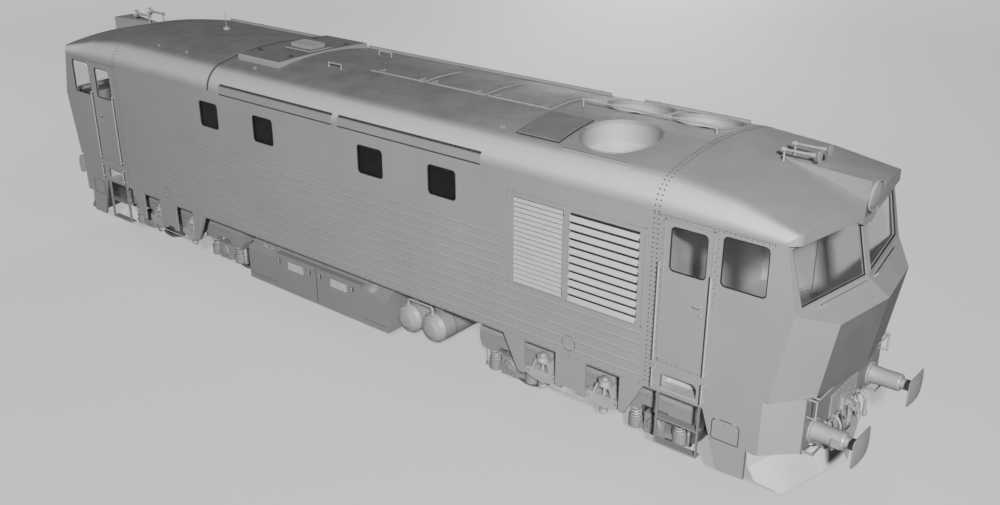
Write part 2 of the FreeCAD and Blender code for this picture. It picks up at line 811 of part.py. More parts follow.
def screen_outline():
    """Right-hand windscreen opening, seen along the locomotive, drawn with square corners."""
    return [
        (-s.screen_side_low_y, screen_sill),
        (-s.screen_post_y, screen_sill),
        (-s.screen_post_y, screen_head),
        (-s.screen_side_high_y, screen_head),
    ]


def side_window_outline():
    r = s.window_corner_radius
    return [
        (s.side_window_rear_x + r, window_sill),
        (s.side_window_front_low_x - r, window_sill, r * 1.06),
        (s.side_window_front_low_x - r * 0.12, window_sill + r),
        (s.side_window_front_high_x + r * 0.12, side_window_head - r, r * 1.06),
        (s.side_window_front_high_x - r, side_window_head),
        (s.side_window_rear_x + r, side_window_head, r),
        (s.side_window_rear_x, side_window_head - r),
        (s.side_window_rear_x, window_sill + r, r),
    ]


def door_window_outline():
    return rounded_rectangle(s.door_window_rear_x, s.door_window_front_x, window_sill,
                             door_window_head, s.window_corner_radius)


STEP_RECESS = (5900, 6400, 1300, 1492)


def make_cabs():
    """Hollow cab panels with their windows, floor, roof, glass and doors."""
    wall = s.wall_thickness
    hull = shaped("cab_hull", cab_volume(0.0, s.sill_height.value))
    inside = shaped("cab_inside", cab_volume(wall.value, s.sill_height.value))
    wall_y = (-s.body_half_width, -inner_half_width)
    skirt = prism("cab_skirt", "xz", [
        (6500, s.sill_height), (6750, s.cab_skirt_low), (s.cab_skirt_front_x, s.cab_skirt_low),
        (s.cab_skirt_front_x, s.plough_top),
        (s.cab_base_x, s.plough_top), (s.cab_base_x, s.sill_height)], *wall_y)
    corner = prism("cab_corner", "xy", [
        (s.cab_base_x - wall, -s.body_half_width), (s.cab_base_x, -s.body_half_width),
        (s.headstock_face_x, -s.headstock_half_width),
        (plate_back_x, -s.headstock_half_width)], s.plough_top, s.nose_low_height)
    door_hole = [(s.door_rear_x, s.door_sill_height), (s.door_front_x, s.door_sill_height),
                 (s.door_front_x, door_head), (s.door_rear_x, door_head)]
    step_rear, step_front, step_low, step_high = STEP_RECESS
    step_hole = [(step_rear, step_low), (step_front, step_low), (step_front, step_high - 75, 75),
                 (step_front - 75, step_high), (step_rear + 45, step_high, 45),
                 (step_rear, step_high - 45)]
    side_holes = prism("cab_side_holes", "xz", [door_hole, side_window_outline(), step_hole],
                       -s.body_half_width - 20, -inner_half_width + 20)
    screen_hole = prism("screen_hole", "yz", screen_outline(), 7150, 7800)
    shell = cut("cab_panels", fused("cab_outer", [hull] + both_sides("cab_skirt_left", skirt)
                                    + both_sides("cab_corner_left", corner)), [inside])
    frame_leaf = hinge_leaf("frame_hinges", False)
    holes = both_sides("cab_side_holes_left", side_holes) + both_sides("screen_hole_left",
                                                                       screen_hole)
    pierced = cut("cab_pierced", shell, holes)
    front = fused("cab_shell_front", [pierced] + both_sides("frame_hinges_left", frame_leaf))
    rear = mirrored("cab_shell_rear", front, ALONG)

    slab = block("floor_slab", (s.cab_seam_x, s.cab_base_x - wall),
                 (-inner_half_width, inner_half_width), (s.sill_height, s.cab_floor_height))
    recess = block("step_recess", (step_rear, step_front),
                   (-inner_half_width, -inner_half_width + 150), (step_low, step_high))
    floor = cut("cab_floor", slab, both_sides("step_recess_left", recess))
    floors = together("cab_floors", [floor, mirrored("cab_floor_rear", floor, ALONG)])

    outer_skin = shaped("pane_outer", cab_volume(wall.value / 2 - 4, s.sill_height.value))
    inner_skin = shaped("pane_inner", cab_volume(wall.value / 2 + 4, s.sill_height.value))
    pane_skin = cut("pane_skin", outer_skin, [inner_skin])
    pane_zone = prism("pane_zone", "yz", screen_outline(), 7150, 7800)
    screen = shared("screen_pane", pane_skin, pane_zone)
    middle_y = -(s.body_half_width + inner_half_width) / 2
    side_pane = prism("side_pane", "xz", side_window_outline(), middle_y - s.glass_thickness / 2,
                      middle_y + s.glass_thickness / 2)
    panes = both_sides("screen_pane_left", screen) + both_sides("side_pane_left", side_pane)
    rear_panes = [mirrored(pane.Name + "_rear", pane, ALONG) for pane in panes]
    glass = together("cab_glass", panes + rear_panes)
    return [front, rear, floors, glass]


def hinge_heights():
    low = s.door_sill_height + 228
    high = door_head - 215
    return low, (low + high) / 2, high


def hinge_axis():
    return s.door_rear_x + s.door_gap / 2, -(inner_half_width - s.hinge_offset)


def hinge_leaf(name, on_door):
    """Knuckles with their plates: pins on the frame side, bored knuckles on the door side."""
    axis_x, axis_y = hinge_axis()
    pieces = []
    length = s.hinge_knuckle_length
    plate_y = (-inner_half_width, axis_y)
    for index, height in enumerate(hinge_heights()):
        if on_door:
            knuckle = turned(f"{name}_knuckle_{index}", "z", (axis_x, axis_y, height), [
                (s.seat_gap, s.hinge_pin_radius + s.running_clearance),
                (s.seat_gap, s.hinge_knuckle_radius), (length, s.hinge_knuckle_radius),
                (length, s.hinge_pin_radius + s.running_clearance)])
            plate = block(f"{name}_plate_{index}", (axis_x + 8, axis_x + 70), plate_y,
                          (height + s.seat_gap, height + length))
        else:
            knuckle = turned(f"{name}_knuckle_{index}", "z", (axis_x, axis_y, height), [
                (-length, 0), (-length, s.hinge_knuckle_radius), (0, s.hinge_knuckle_radius),
                (0, s.hinge_pin_radius), (length, s.hinge_pin_radius), (length, 0)])
            plate = block(f"{name}_plate_{index}", (axis_x - 70, axis_x - 8), plate_y,
                          (height - length, height))
        pieces += [knuckle, plate]
    return fused(name, pieces)


def make_doors():
    """Cab doors that swing inwards on their rear edge, with their windows."""
    gap = s.door_gap
    leaf = prism("door_leaf", "xz", [
        (s.door_rear_x + gap, s.door_sill_height + gap), (s.door_front_x - gap, s.door_sill_height + gap),
        (s.door_front_x - gap, door_head - gap), (s.door_rear_x + gap, door_head - gap)],
        -s.body_half_width, -inner_half_width)
    hole = prism("door_window_hole", "xz", door_window_outline(), -s.body_half_width - 10,
                 -inner_half_width + 10)
    handle_x = s.door_front_x - 110
    handle_z = s.door_handle_height
    handle = fused("door_handle", [
        rod("handle_shank", "y", (handle_x, -s.body_half_width - 35, handle_z), 35, 9),
        block("handle_bar", (handle_x - 75, handle_x + 9),
              (-s.body_half_width - 47, -s.body_half_width - 35), (handle_z - 10, handle_z + 10))])
    leaves = hinge_leaf("door_hinges", True)
    door = fused("cab_door_front_right", [cut("door_panel", leaf, [hole]), leaves, handle])
    middle_y = -(s.body_half_width + inner_half_width) / 2
    pane = prism("door_glass_front_right", "xz", door_window_outline(),
                 middle_y - s.glass_thickness / 2, middle_y + s.glass_thickness / 2)
    nodes = [door, pane]
    for source, stem in ((door, "cab_door"), (pane, "door_glass")):
        left = mirrored(f"{stem}_front_left", source, ACROSS)
        rear_right = mirrored(f"{stem}_rear_right", source, ALONG)
        rear_left = mirrored(f"{stem}_rear_left", rear_right, ACROSS)
        nodes += [left, rear_right, rear_left]
    return nodes


def cab_roof_section(inset, crown, radius):
    return roof_section(s.body_half_width - inset, crown - inset, radius - inset, s.eave_height)


def cab_roof_loft(name, inset, lead=0, end_x=None):
    """Roof volume of a cab above the eave, in two straight runs from the seam to an end.

    The inset moves its surface inwards, and the lead starts it behind the seam.
    """
    mid_crown = s.eave_height + s.cab_roof_mid_rise
    end_crown = s.eave_height + s.cab_roof_end_rise
    end_radius = s.cab_roof_end_radius
    if end_x is None:
        end_x = s.cab_roof_end_x
    else:
        share = (end_x - s.cab_roof_mid_x) / (s.cab_roof_end_x - s.cab_roof_mid_x)
        end_crown = mid_crown + (end_crown - mid_crown) * share
        end_radius = s.cab_roof_mid_radius + (end_radius - s.cab_roof_mid_radius) * share
    stations = (
        (s.cab_seam_x - lead, crown_height, s.crown_radius),
        (s.cab_roof_mid_x, mid_crown, s.cab_roof_mid_radius),
        (end_x, end_crown, end_radius),
    )
    sketches = [sketch_on(f"{name}_section_{index}", "yz", x,
                          [cab_roof_section(inset, crown, radius)])
                for index, (x, crown, radius) in enumerate(stations)]
    loft = new_object("Part::Loft", name)
    loft.Sections = sketches
    loft.Solid = True
    loft.Ruled = True
    return loft


lamp_slope = math.tan(math.radians(s.lamp_lean.value))
lamp_top = s.eave_height + s.lamp_rise
lamp_low = s.eave_height - s.lamp_drop
lamp_low_x = s.lamp_front_x - (lamp_top - lamp_low) * lamp_slope


def brow_front_tools(name):
    """Everything in front of the brow: swept-back faces, rounded corners and the lamp's plane."""
    corner_side_x = s.brow_corner_x - s.brow_corner_radius
    far_y = s.body_half_width + 200
    far_x = s.cab_roof_end_x + 100
    front = prism(name, "xy", [
        (corner_side_x, -far_y), (far_x, -far_y), (far_x, far_y), (corner_side_x, far_y),
        (corner_side_x, s.body_half_width, -s.brow_corner_radius),
        (s.brow_corner_x, brow_corner_y), (s.brow_centre_x, 0),
        (s.brow_corner_x, -brow_corner_y, -s.brow_corner_radius),
        (corner_side_x, -s.body_half_width)], s.eave_height - 20, crown_height + 50)
    lamp = prism(name + "_lamp", "xz", [
        (lamp_low_x, lamp_low), (far_x, lamp_low), (far_x, lamp_top),
        (s.lamp_front_x, lamp_top)], -s.lamp_half_width, s.lamp_half_width)
    return [front, lamp]


def brow_volume(name):
    """Cab roof without its hollow, closed at the brow."""
    outer = cab_roof_loft(name + "_loft", as_size(0))
    return cut(name, outer, brow_front_tools(name + "_front_tool"))


def make_cab_roofs():
    """Sloping roof shells that end in a brow over the windscreens."""
    hollow = cab_roof_loft("cab_roof_hollow", s.roof_thickness, 10, s.screen_top_side_x - 10)
    front = cut("cab_roof_front", brow_volume("cab_brow"), [hollow])
    rear = mirrored("cab_roof_rear", front, ALONG)
    return [front, rear]


# ---- underframe and ends ---------------------------------------------------------------------

CROSS_MEMBERS = (-7000, -2900, -1000, 1000, 2500, 7000)


def make_underframe():
    inner_y = s.sill_beam_inner_y
    pieces = [block("floor_plate", (-s.cab_base_x + 40, s.cab_base_x - 40),
                    (-inner_half_width, inner_half_width), (floor_low, s.sill_height))]
    beam = block("sill_beam", (-plate_back_x, plate_back_x), (inner_y, s.sill_beam_outer_y),
                 (s.sill_beam_low, floor_low))
    pieces += both_sides("sill_beam_right", beam)
    for index, x in enumerate(CROSS_MEMBERS):
        pieces.append(block(f"cross_member_{index}", (x - 70, x + 70), (-inner_y, inner_y),
                            (s.sill_beam_low, floor_low)))
    for end in (-1, 1):
        name = "front" if end > 0 else "rear"
        x = s.pivot_x * end
        pieces.append(block(f"bolster_{name}", (x - 250, x + 250), (-inner_y, inner_y),
                            (s.sill_beam_low, floor_low)))
        plate_low = s.frame_top + s.seat_gap
        pieces.append(turned(f"pivot_{name}", "z", (x, 0, 0), [
            (700, 0), (700, s.pivot_pin_radius), (plate_low, s.pivot_pin_radius),
            (plate_low, s.pivot_plate_radius), (s.sill_beam_low, s.pivot_plate_radius),
            (s.sill_beam_low, 0)]))
    return fused("underframe", pieces)


def make_headstocks():
    half = s.headstock_half_width
    plate = block("headstock_plate", (plate_back_x, s.headstock_face_x), (-half, half),
                  (s.headstock_low, s.nose_low_height))
    front_x = s.headstock_face_x + s.step_reach
    step_z = (s.headstock_low - 32, s.headstock_low)
    step = fused("coupler_step", [
        block("step_front", (front_x - 12, front_x), (-half + 48, -half + 348), step_z),
        block("step_near", (plate_back_x, front_x), (-half + 48, -half + 60), step_z),
        block("step_far", (plate_back_x, front_x), (-half + 336, -half + 348), step_z)])
    front = fused("headstock_front", [plate] + both_sides("coupler_step_left", step))
    return together("headstocks", [front, mirrored("headstock_rear", front, ALONG)])


def make_buffers():
    face = s.headstock_face_x
    y = -s.buffer_y
    head_back = s.buffer_face_x - 35
    body = turned("buffer_body", "x", (0, y, s.buffer_height), [
        (face, 0), (face, 165), (face + 25, 165), (face + 30, 125), (face + 190, 115),
        (8030, 115), (8050, 105), (8050, 72), (head_back, 72), (head_back, 0)])
    half_width = s.buffer_head_width / 2
    half_height = s.buffer_head_height / 2
    slab = prism("buffer_slab", "yz", rounded_rectangle(
        y - half_width, y + half_width, s.buffer_height - half_height,
        s.buffer_height + half_height, 60), head_back, s.buffer_face_x)
    ball = new_object("Part::Sphere", "buffer_curve")
    ball.Radius = 1500
    place(ball, (s.buffer_face_x - 1500, y, s.buffer_height))
    head = shared("buffer_head", slab, ball)
    lug = block("buffer_lug", (face + 280, face + 395), (y - 128, y - 60),
                (s.buffer_height - 58, s.buffer_height + 42))
    right = fused("buffer_right", [body, head, lug])
    pair = both_sides("buffer_left", right)
    rear = [mirrored(item.Name + "_rear", item, ALONG) for item in pair]
    return together("buffers", pair + rear)


def make_draw_gear():
    face = s.headstock_face_x
    z = s.buffer_height
    plate = block("draw_plate", (face, face + 16), (-400, 400), (930, 1330))
    guide = block("draw_guide", (face + 16, face + 60), (-90, 90), (z - 90, z + 90))
    hook = prism("draw_hook", "xz", [
        (face + 60, z - 45), (face + 120, z - 45), (face + 150, z - 85), (face + 200, z - 75),
        (face + 225, z - 20), (face + 215, z + 30), (face + 190, z + 35), (face + 185, z - 15),
        (face + 160, z - 30), (face + 135, z), (face + 130, z + 45), (face + 60, z + 45)], -28, 28)
    pin_x = face + 115
    link_low = s.buffer_height - 350
    link = [rod("link_pin", "y", (pin_x, -62, z - 20), 124, 16),
            rod("link_foot", "y", (pin_x, -62, link_low), 124, 16)]
    link += [rod(f"link_bar_{side}", "z", (pin_x, side * 46, link_low), 350 - 20, 14)
             for side in (-1, 1)]
    front = fused("draw_gear_front", [plate, guide, hook] + link)
    return together("draw_gear", [front, mirrored("draw_gear_rear", front, ALONG)])


def make_ploughs():
    """Blade swept back to both sides, upright at its top and curved forwards to its foot."""
    thickness = 22
    foot = s.plough_low
    top = s.plough_top
    side = inner_half_width + 24
    sections = []
    for index, y in enumerate((-side, as_size(0), side)):
        foot_x = s.plough_centre_x - s.plough_sweep * (y if y.value > 0 else -y)
        skin = [(foot_x - s.plough_reach * back, foot + (top - foot) * up)
                for back, up in ((0, 0), (0.5, 0.385), (0.9, 0.66), (1, 1))]
        lining = [(x - thickness, z) for x, z in reversed(skin)]
        sections.append(sketch_on(f"plough_section_{index}", "xz", y, [skin + lining]))
    blade = new_object("Part::Loft", "plough_blade")
    blade.Sections = sections
    blade.Solid = True
    blade.Ruled = True
    corner = prism("plough_corner", "yz", [
        (-side - 20, s.plough_corner_height + 16), (-side - 20, foot - 20),
        (-s.plough_corner_y + 16, foot - 20), (-s.plough_corner_y, foot)], 7000, s.buffer_face_x)
    arms = []
    for arm_side in (-1, 1):
        arms.append(block(f"plough_arm_{arm_side + 1}", (plate_back_x - 260, plate_back_x),
                          (arm_side * 600 - 20, arm_side * 600 + 20),
                          (s.plough_top - 200, s.headstock_low + 120)))
    front = fused("plough_front", [cut("plough_trimmed", blade, both_sides("plough_corner_left",
                                                                           corner))] + arms)
    return together("ploughs", [front, mirrored("plough_rear", front, ALONG)])


# ---- bogies ----------------------------------------------------------------------------------

def make_bogie(end):
    """Frame, axle boxes, springs, hangers, motors and two wheelsets under one end."""
    name = "front" if end > 0 else "rear"
    x = s.pivot_x * end
    frame = make_bogie_frame(name, x)
    nodes = [frame, make_axle_boxes(name, x), make_springs(name, x), make_hangers(name, x),
             make_motors(name, x)]
    for side, stem in ((1, "outer"), (-1, "inner")):
        nodes.append(make_wheelset(f"wheelset_{name}_{stem}", x + s.half_wheelbase * side * end))
    return nodes


def make_bogie_frame(name, x):
    half = s.frame_half_length
    section = prism(f"frame_section_{name}", "yz", [
        (s.frame_inner_y, s.frame_low), (s.frame_outer_y, s.frame_low),
        (s.frame_outer_y, s.frame_top - s.frame_round, s.frame_round),
        (s.frame_outer_y - s.frame_round, s.frame_top), (s.frame_inner_y, s.frame_top)],
        x - half, x + half)
    low = s.frame_low
    arch = low + 90
    wheel = s.half_wheelbase
    seat = s.damper_offset + s.damper_radius + 5
    profile = prism(f"frame_profile_{name}", "xz", [
        (x - half, low + 120), (x - wheel - seat, low), (x - wheel - 220, low),
        (x - wheel - 190, arch), (x - wheel + 190, arch), (x - wheel + 220, low),
        (x + wheel - 220, low), (x + wheel - 190, arch), (x + wheel + 190, arch),
        (x + wheel + 220, low), (x + wheel + seat, low), (x + half, low + 120),
        (x + half, s.frame_top), (x - half, s.frame_top)],
        s.frame_inner_y - 10, s.frame_outer_y + 10)
    side = shared(f"frame_side_{name}", section, profile)
    transom = block(f"transom_{name}", (x - s.transom_half_length, x + s.transom_half_length),
                    (-s.frame_inner_y, s.frame_inner_y), (s.transom_low, s.frame_low + 180))
    hole = rod(f"pivot_hole_{name}", "z", (x, 0, s.transom_low), 500,
               s.pivot_pin_radius + s.running_clearance)
    plate = rod(f"pivot_plate_{name}", "z", (x, 0, s.frame_low + 180), s.frame_top - s.frame_low - 180,
                s.pivot_plate_radius)
    ends = [block(f"end_beam_{name}_{index}", (at, at + 70), (-s.frame_inner_y, s.frame_inner_y),
                  (s.frame_low + 120, s.frame_top - 20))
            for index, at in enumerate((x - half, x + half - 70))]
    body = fused(f"frame_whole_{name}", both_sides(f"frame_left_{name}", side)
                 + [transom, plate] + ends)
    return cut(f"bogie_frame_{name}", body, [hole])


def make_axle_boxes(name, x):
    """Boxes on the journals with a spring cup on each side."""
    pieces = []
    z = s.flange_radius
    y = -s.spring_y
    for side in (-1, 1):
        axle_x = x + s.half_wheelbase * side
        box = block(f"axle_box_{name}_{side + 1}", (axle_x - 150, axle_x + 150), (y - 95, y + 85),
                    (z - 150, z + 145))
        cover = turned(f"axle_cover_{name}_{side + 1}", "y", (axle_x, y - 95, z), [
            (-22, 0), (-22, 95), (0, 110), (0, 0)])
        wing = block(f"axle_wing_{name}_{side + 1}",
                     (axle_x - s.spring_offset, axle_x + s.spring_offset), (y - 60, y + 60),
                     (s.spring_seat - 110, s.spring_seat - 40))
        cups = [turned(f"spring_cup_{name}_{side + 1}{way + 1}", "z",
                       (axle_x + s.spring_offset * way, y, 0), [
                           (s.cup_low, 0), (s.cup_low, s.cup_radius - 12),
                           (s.cup_low + 12, s.cup_radius), (s.spring_seat + 30, s.cup_radius),
                           (s.spring_seat + 30, s.cup_radius - 6), (s.spring_seat, s.cup_radius - 6),
                           (s.spring_seat, 0)]) for way in (-1, 1)]
        foot_x = sorted((axle_x + s.spring_offset * side, axle_x + s.damper_offset * side),
                        key=number)
        foot = block(f"damper_foot_{name}_{side + 1}", foot_x, (y - 25, y + 25),
                     (s.cup_low + 15, s.cup_low + 43))
        pad = rod(f"damper_pad_{name}_{side + 1}", "z",
                  (axle_x + s.damper_offset * side, y, s.cup_low + 15), 28, s.damper_radius + 10)
        bore = rod(f"axle_bore_{name}_{side + 1}", "y", (axle_x, -s.journal_end_y - 0.3, z), 300,
                   s.journal_radius + s.running_clearance)
        pieces.append(cut(f"axle_unit_{name}_{side + 1}",
                          fused(f"axle_case_{name}_{side + 1}", [box, cover, wing, foot, pad]
                                + cups), [bore]))
    copies = [mirrored(item.Name + "_left", item, ACROSS) for item in pieces]
    return together(f"axle_boxes_{name}", pieces + copies)


def make_springs(name, x):
    """Coil springs beside each axle box, and a damper beyond the outer one."""
    pieces = []
    for axle in (-1, 1):
        for side in (-1, 1):
            at = x + s.half_wheelbase * axle + s.spring_offset * side
            pieces.append(turned(f"spring_{name}_{axle + 1}{side + 1}", "z", (at, -s.spring_y, 0),
                                 spring_outline(s.frame_low)))
        at = x + s.half_wheelbase * axle + s.damper_offset * axle
        low = s.cup_low + 43
        wide = s.damper_radius
        pieces.append(turned(f"damper_{name}_{axle + 1}", "z", (at, -s.spring_y, 0), [
            (low, 0), (low, wide * 0.8), (low + 130, wide * 0.8), (low + 130, wide),
            (s.frame_low, wide), (s.frame_low, 0)]))
    copies = [mirrored(item.Name + "_left", item, ACROSS) for item in pieces]
    return together(f"springs_{name}", pieces + copies)


def spring_outline(top):
    """Envelope of a coil spring that stands in its cup."""
    seat = s.spring_seat
    wide = s.spring_radius
    turns = 3
    pitch = (top - 26 - seat) / turns
    outline = [(seat, 0), (seat, wide)]
    for number_of in range(turns):
        base = seat + pitch * number_of
        outline += [(base + pitch * 0.58, wide), (base + pitch * 0.62, wide - 26),
                    (base + pitch * 0.96, wide - 26), (base + pitch, wide)]
    return outline + [(top - 26, wide + 12), (top, wide + 12), (top, 0)]


def make_hangers(name, x):
    """Swing hangers that show through the skirt openings, two on each side of a bogie."""
    face = -s.frame_outer_y
    y = -s.hanger_y
    wide = s.hanger_disc_radius
    top = s.frame_top - 75
    pieces = []
    for side in (-1, 1):
        at = x + s.hanger_offset * side
        saddle = prism(f"hanger_saddle_{name}_{side + 1}", "xz", [
            (at - 165, top - 150), (at - 112, top), (at + 112, top), (at + 165, top - 150),
            (at + 128, top - 150), (at + 88, top - 36), (at - 88, top - 36),
            (at - 128, top - 150)], y - 42, face)
        bolt = turned(f"hanger_bolt_{name}_{side + 1}", "z", (at, y, 0), [
            (500, 0), (500, 32), (535, 32), (535, 58), (585, 58), (585, 20), (top, 20),
            (top, wide), (top + 24, wide), (top + 24, wide - 10), (top + 58, wide - 10),
            (top + 58, wide), (top + 78, wide), (top + 78, 42), (top + 104, 42), (top + 104, 0)])
        beam = prism(f"hanger_beam_{name}_{side + 1}", "xz", [
            (at - 275, top - 145), (at - 275, 690), (at - 150, 638), (at, 615), (at + 150, 638),
            (at + 275, 690), (at + 275, top - 145)], y - 50, y + 80)
        pieces += [saddle, bolt, beam]
    tie = rod(f"hanger_tie_{name}", "x", (x - s.hanger_offset, y, 560), s.hanger_offset * 2, 12)
    right = fused(f"hanger_pair_{name}", pieces + [tie])
    return together(f"hangers_{name}", both_sides(f"hanger_pair_left_{name}", right))


def make_motors(name, x):
    motors = []
    for side in (-1, 1):
        near = x + s.transom_half_length * side
        far = x + (s.half_wheelbase - s.axle_radius - 30) * side
        limits = (near, far) if side > 0 else (far, near)
        motors.append(block(f"motor_{name}_{side + 1}", limits, (-430, 430), (290, 800)))
    return together(f"traction_motors_{name}", motors)


def make_wheelset(name, x):
    back = s.wheel_back_y
    front = back + s.wheel_width
    mid = back + s.wheel_width / 2
    half = [
        (s.journal_end_y, 0), (s.journal_end_y, s.journal_radius), (front + 40, s.journal_radius),
        (front + 40, 140), (mid + 20, 140), (mid + 12, s.wheel_radius - 75),
        (front, s.wheel_radius - 70), (front, s.wheel_radius - 4), (back + 34, s.wheel_radius + 2),
        (back + 24, s.flange_radius), (back + 6, s.flange_radius), (back, s.wheel_radius),
        (back, s.wheel_radius - 70), (mid - 12, s.wheel_radius - 75), (mid - 20, 140),
        (back - 15, 140), (back - 15, s.axle_radius)]
    outline = half + [(-u, v) for u, v in reversed(half)]
    return turned(name, "y", (x, 0, s.flange_radius), outline)


# ---- fittings --------------------------------------------------------------------------------

def make_equipment_box():
    top = s.sill_beam_low
    half = s.box_half_width
    return prism("equipment_box", "yz", [
        (-half, s.box_low), (half, s.box_low), (half, s.box_shoulder), (half - 240, top),
        (-half + 240, top), (-half, s.box_shoulder)], s.box_rear_x, s.box_front_x)


RESERVOIR_XS = (1265, 1770)


def make_reservoirs():
    r = s.reservoir_radius
    z = s.reservoir_height
    pieces = []
    for index, x in enumerate(RESERVOIR_XS):
        tank = turned(f"reservoir_{index}", "y", (x, 0, z), [
            (-1300, 0), (-1290, r * 0.45), (-1240, r * 0.85), (-1180, r), (1180, r),
            (1240, r * 0.85), (1290, r * 0.45), (1300, 0)])
        for side in (-1, 1):
            y = side * 1025
            strap = cut(f"strap_{index}_{side + 1}", block(
                f"strap_block_{index}_{side + 1}", (x - 70, x + 70), (y - 30, y + 30),
                (z + r - 60, s.sill_beam_low)), [rod(f"strap_hole_{index}_{side + 1}", "y",
                                                      (x, y - 60, z), 120, r)])
            pieces.append(strap)
        pieces.append(tank)
    return fused("air_reservoirs", pieces)


def make_ladders():
    """Side steps under the cab doors."""
    pieces = []
    outer = -s.body_half_width
    for index, x in enumerate((5871, 6453)):
        pieces.append(block(f"ladder_stile_{index}", (x - 10, x + 10), (outer, outer + 40),
                            (490, s.sill_height)))
    for index, z in enumerate((490, 850)):
        pieces.append(block(f"ladder_tread_{index}", (5861, 6463), (outer, outer + 110), (z, z + 20)))
    ladder = fused("ladder", pieces)
    pair = both_sides("ladder_left", ladder)
    rear = [mirrored(item.Name + "_rear", item, ALONG) for item in pair]
    return together("ladders", pair + rear)


def rail_between(name, x, low, high):
    """Upright handrail on two stubs."""
    y = -s.body_half_width - s.rail_stand
    r = s.rail_radius
    bar = rod(f"{name}_bar", "z", (x, y, low), high - low, r)
    stubs = [rod(f"{name}_stub_{index}", "y", (x, y, z), s.rail_stand, r * 0.8)
             for index, z in enumerate((low + 20, high - 20))]
    return fused(name, [bar] + stubs)


def make_handrails():
    rails = []
    for index, x in enumerate((s.door_rear_x - 23, s.door_front_x + 23)):
        rails.append(rail_between(f"upper_rail_{index}", x, 1682, 2981))
        rails.append(rail_between(f"lower_rail_{index}", x, 1303, 1571))
    rails += make_end_rails()
    left = [mirrored(item.Name + "_left", item, ACROSS) for item in rails]
    rear = [mirrored(item.Name + "_rear", item, ALONG) for item in rails + left]
    return together("handrails", rails + left + rear)


def stay(name, start, end, radius):
    """A round bar between two points."""
    run = end - start
    bar = new_object("Part::Cylinder", name)
    bar.Radius = as_size(radius).value
    bar.Height = run.Length
    place(bar, start, Rotation(Vector(0, 0, 1), run))
    return bar


def make_end_rails():
    """Grab handle and cross rail on the headstock, and the rail under a windscreen."""
    face = s.headstock_face_x
    reach = s.end_rail_stand
    r = s.rail_radius * 0.8
    grab_y = -s.headstock_half_width + 48
    grab = fused("grab_handle", [
        rod("grab_bar", "z", (face + reach, grab_y, 1348), 250, r),
        rod("grab_low", "x", (face, grab_y, 1356), reach + r, r),
        rod("grab_high", "x", (face, grab_y, 1590), reach + r, r)])
    rail_z = s.nose_low_height - 12
    cross = fused("cross_rail", [
        rod("cross_bar", "y", (face + reach, -1040, rail_z), 900, r),
        rod("cross_stub_0", "x", (face, -1032, rail_z), reach, r),
        rod("cross_stub_1", "x", (face, -148, rail_z), reach, r)])
    origin, normal = nose_planes(0.0)["apron"][0]
    if normal.y > 0:
        origin, normal = nose_planes(0.0)["apron"][1]
    ends = []
    for y in (-1063, -139):
        z = s.screen_foot_height.value - 23
        x = origin.x - ((y - origin.y) * normal.y + (z - origin.z) * normal.z) / normal.x
        foot = Vector(x, y, z)
        ends.append((foot, foot + normal * 50))
    apron = fused("apron_rail", [
        stay("apron_bar", ends[0][1], ends[1][1], r),
        stay("apron_stub_0", ends[0][0], ends[0][1], r),
        stay("apron_stub_1", ends[1][0], ends[1][1], r)])
    return [grab, cross, apron]


def make_exhaust():
    """Raised hatch with a flatter top than the roof, and the exhaust opening on it."""
    half = s.hatch_half_width
    top = crown_height + s.hatch_rise
    edge = top - s.hatch_radius + (s.hatch_radius * s.hatch_radius - half * half).root()
    cover = prism("hatch_cover", "yz", [
        (-half - 20, s.eave_height), (half + 20, s.eave_height), (half + 20, edge - 20),
        (half, edge, s.hatch_radius), (-half, edge), (-half - 20, edge - 20)],
        s.hatch_rear_x, s.hatch_front_x)
    middle_x = (s.hatch_rear_x + s.hatch_front_x) / 2 + 110
    base = block("stack_base", (middle_x - 320, middle_x + 320), (-230, 230), (top - 60, top + 18))
    stack = cut("stack", block("stack_outer", (middle_x - 250, middle_x + 250), (-150, 150),
                               (top - 60, top + 90)),
                [block("stack_inner", (middle_x - 222, middle_x + 222), (-122, 122),
                       (top + 20, top + 100))])
    return cut("exhaust_hatch", fused("hatch_whole", [cover, base, stack]),
               [roof_trim("hatch_trim")])


def roof_height(y):
    """Height of the engine room roof near the centre line."""
    return crown_height - s.crown_radius + (s.crown_radius * s.crown_radius - y * y).root()


def roof_trim(name):
    """Everything under the surface of the engine room roof."""
    return prism(name, "yz", room_roof_section(as_size(0), s.eave_height - 100),
                 -s.cab_seam_x, s.cab_seam_x)


ROOF_HANDLES = (
    # name, rear x, front x, y, height above the roof
    ("right", -975, -675, -550, 75),
    ("left", -975, -675, 550, 75),
    ("fans", 3530, 5590, 20, 100),
)
DRIP_STRIPS = (
    # name, rear x, front x
    ("rear", -5690, -1900),
    ("middle", -1800, 3270),
    ("front", 3840, 5490),
)
WALKWAY_BAYS = (-200, 930, 2100, 3280)
WALKWAY_LUGS = (0, 850, 1100, 1950, 2300, 3150)
LIFTING_EYES = (-4740, -3920, -2080, 3080)


def make_roof_rails():
    """Handles on the roof and the rail beside the fans, all with bent ends."""
    pieces = []
    radius = s.rail_radius * 0.85
    for name, rear_x, front_x, y, stand in ROOF_HANDLES:
        z = roof_height(y) + stand
        bar = rod(f"roof_bar_{name}", "x", (rear_x, y, z), front_x - rear_x, radius)
        posts = [rod(f"roof_post_{name}_{index}", "z", (at, y, z - stand - 30), stand + 30, radius)
                 for index, at in enumerate((rear_x + 10, front_x - 10))]
        pieces.append(fused(f"roof_rail_{name}", [bar] + posts))
    return cut("roof_rails", together("roof_rail_bars", pieces), [roof_trim("rail_trim")])


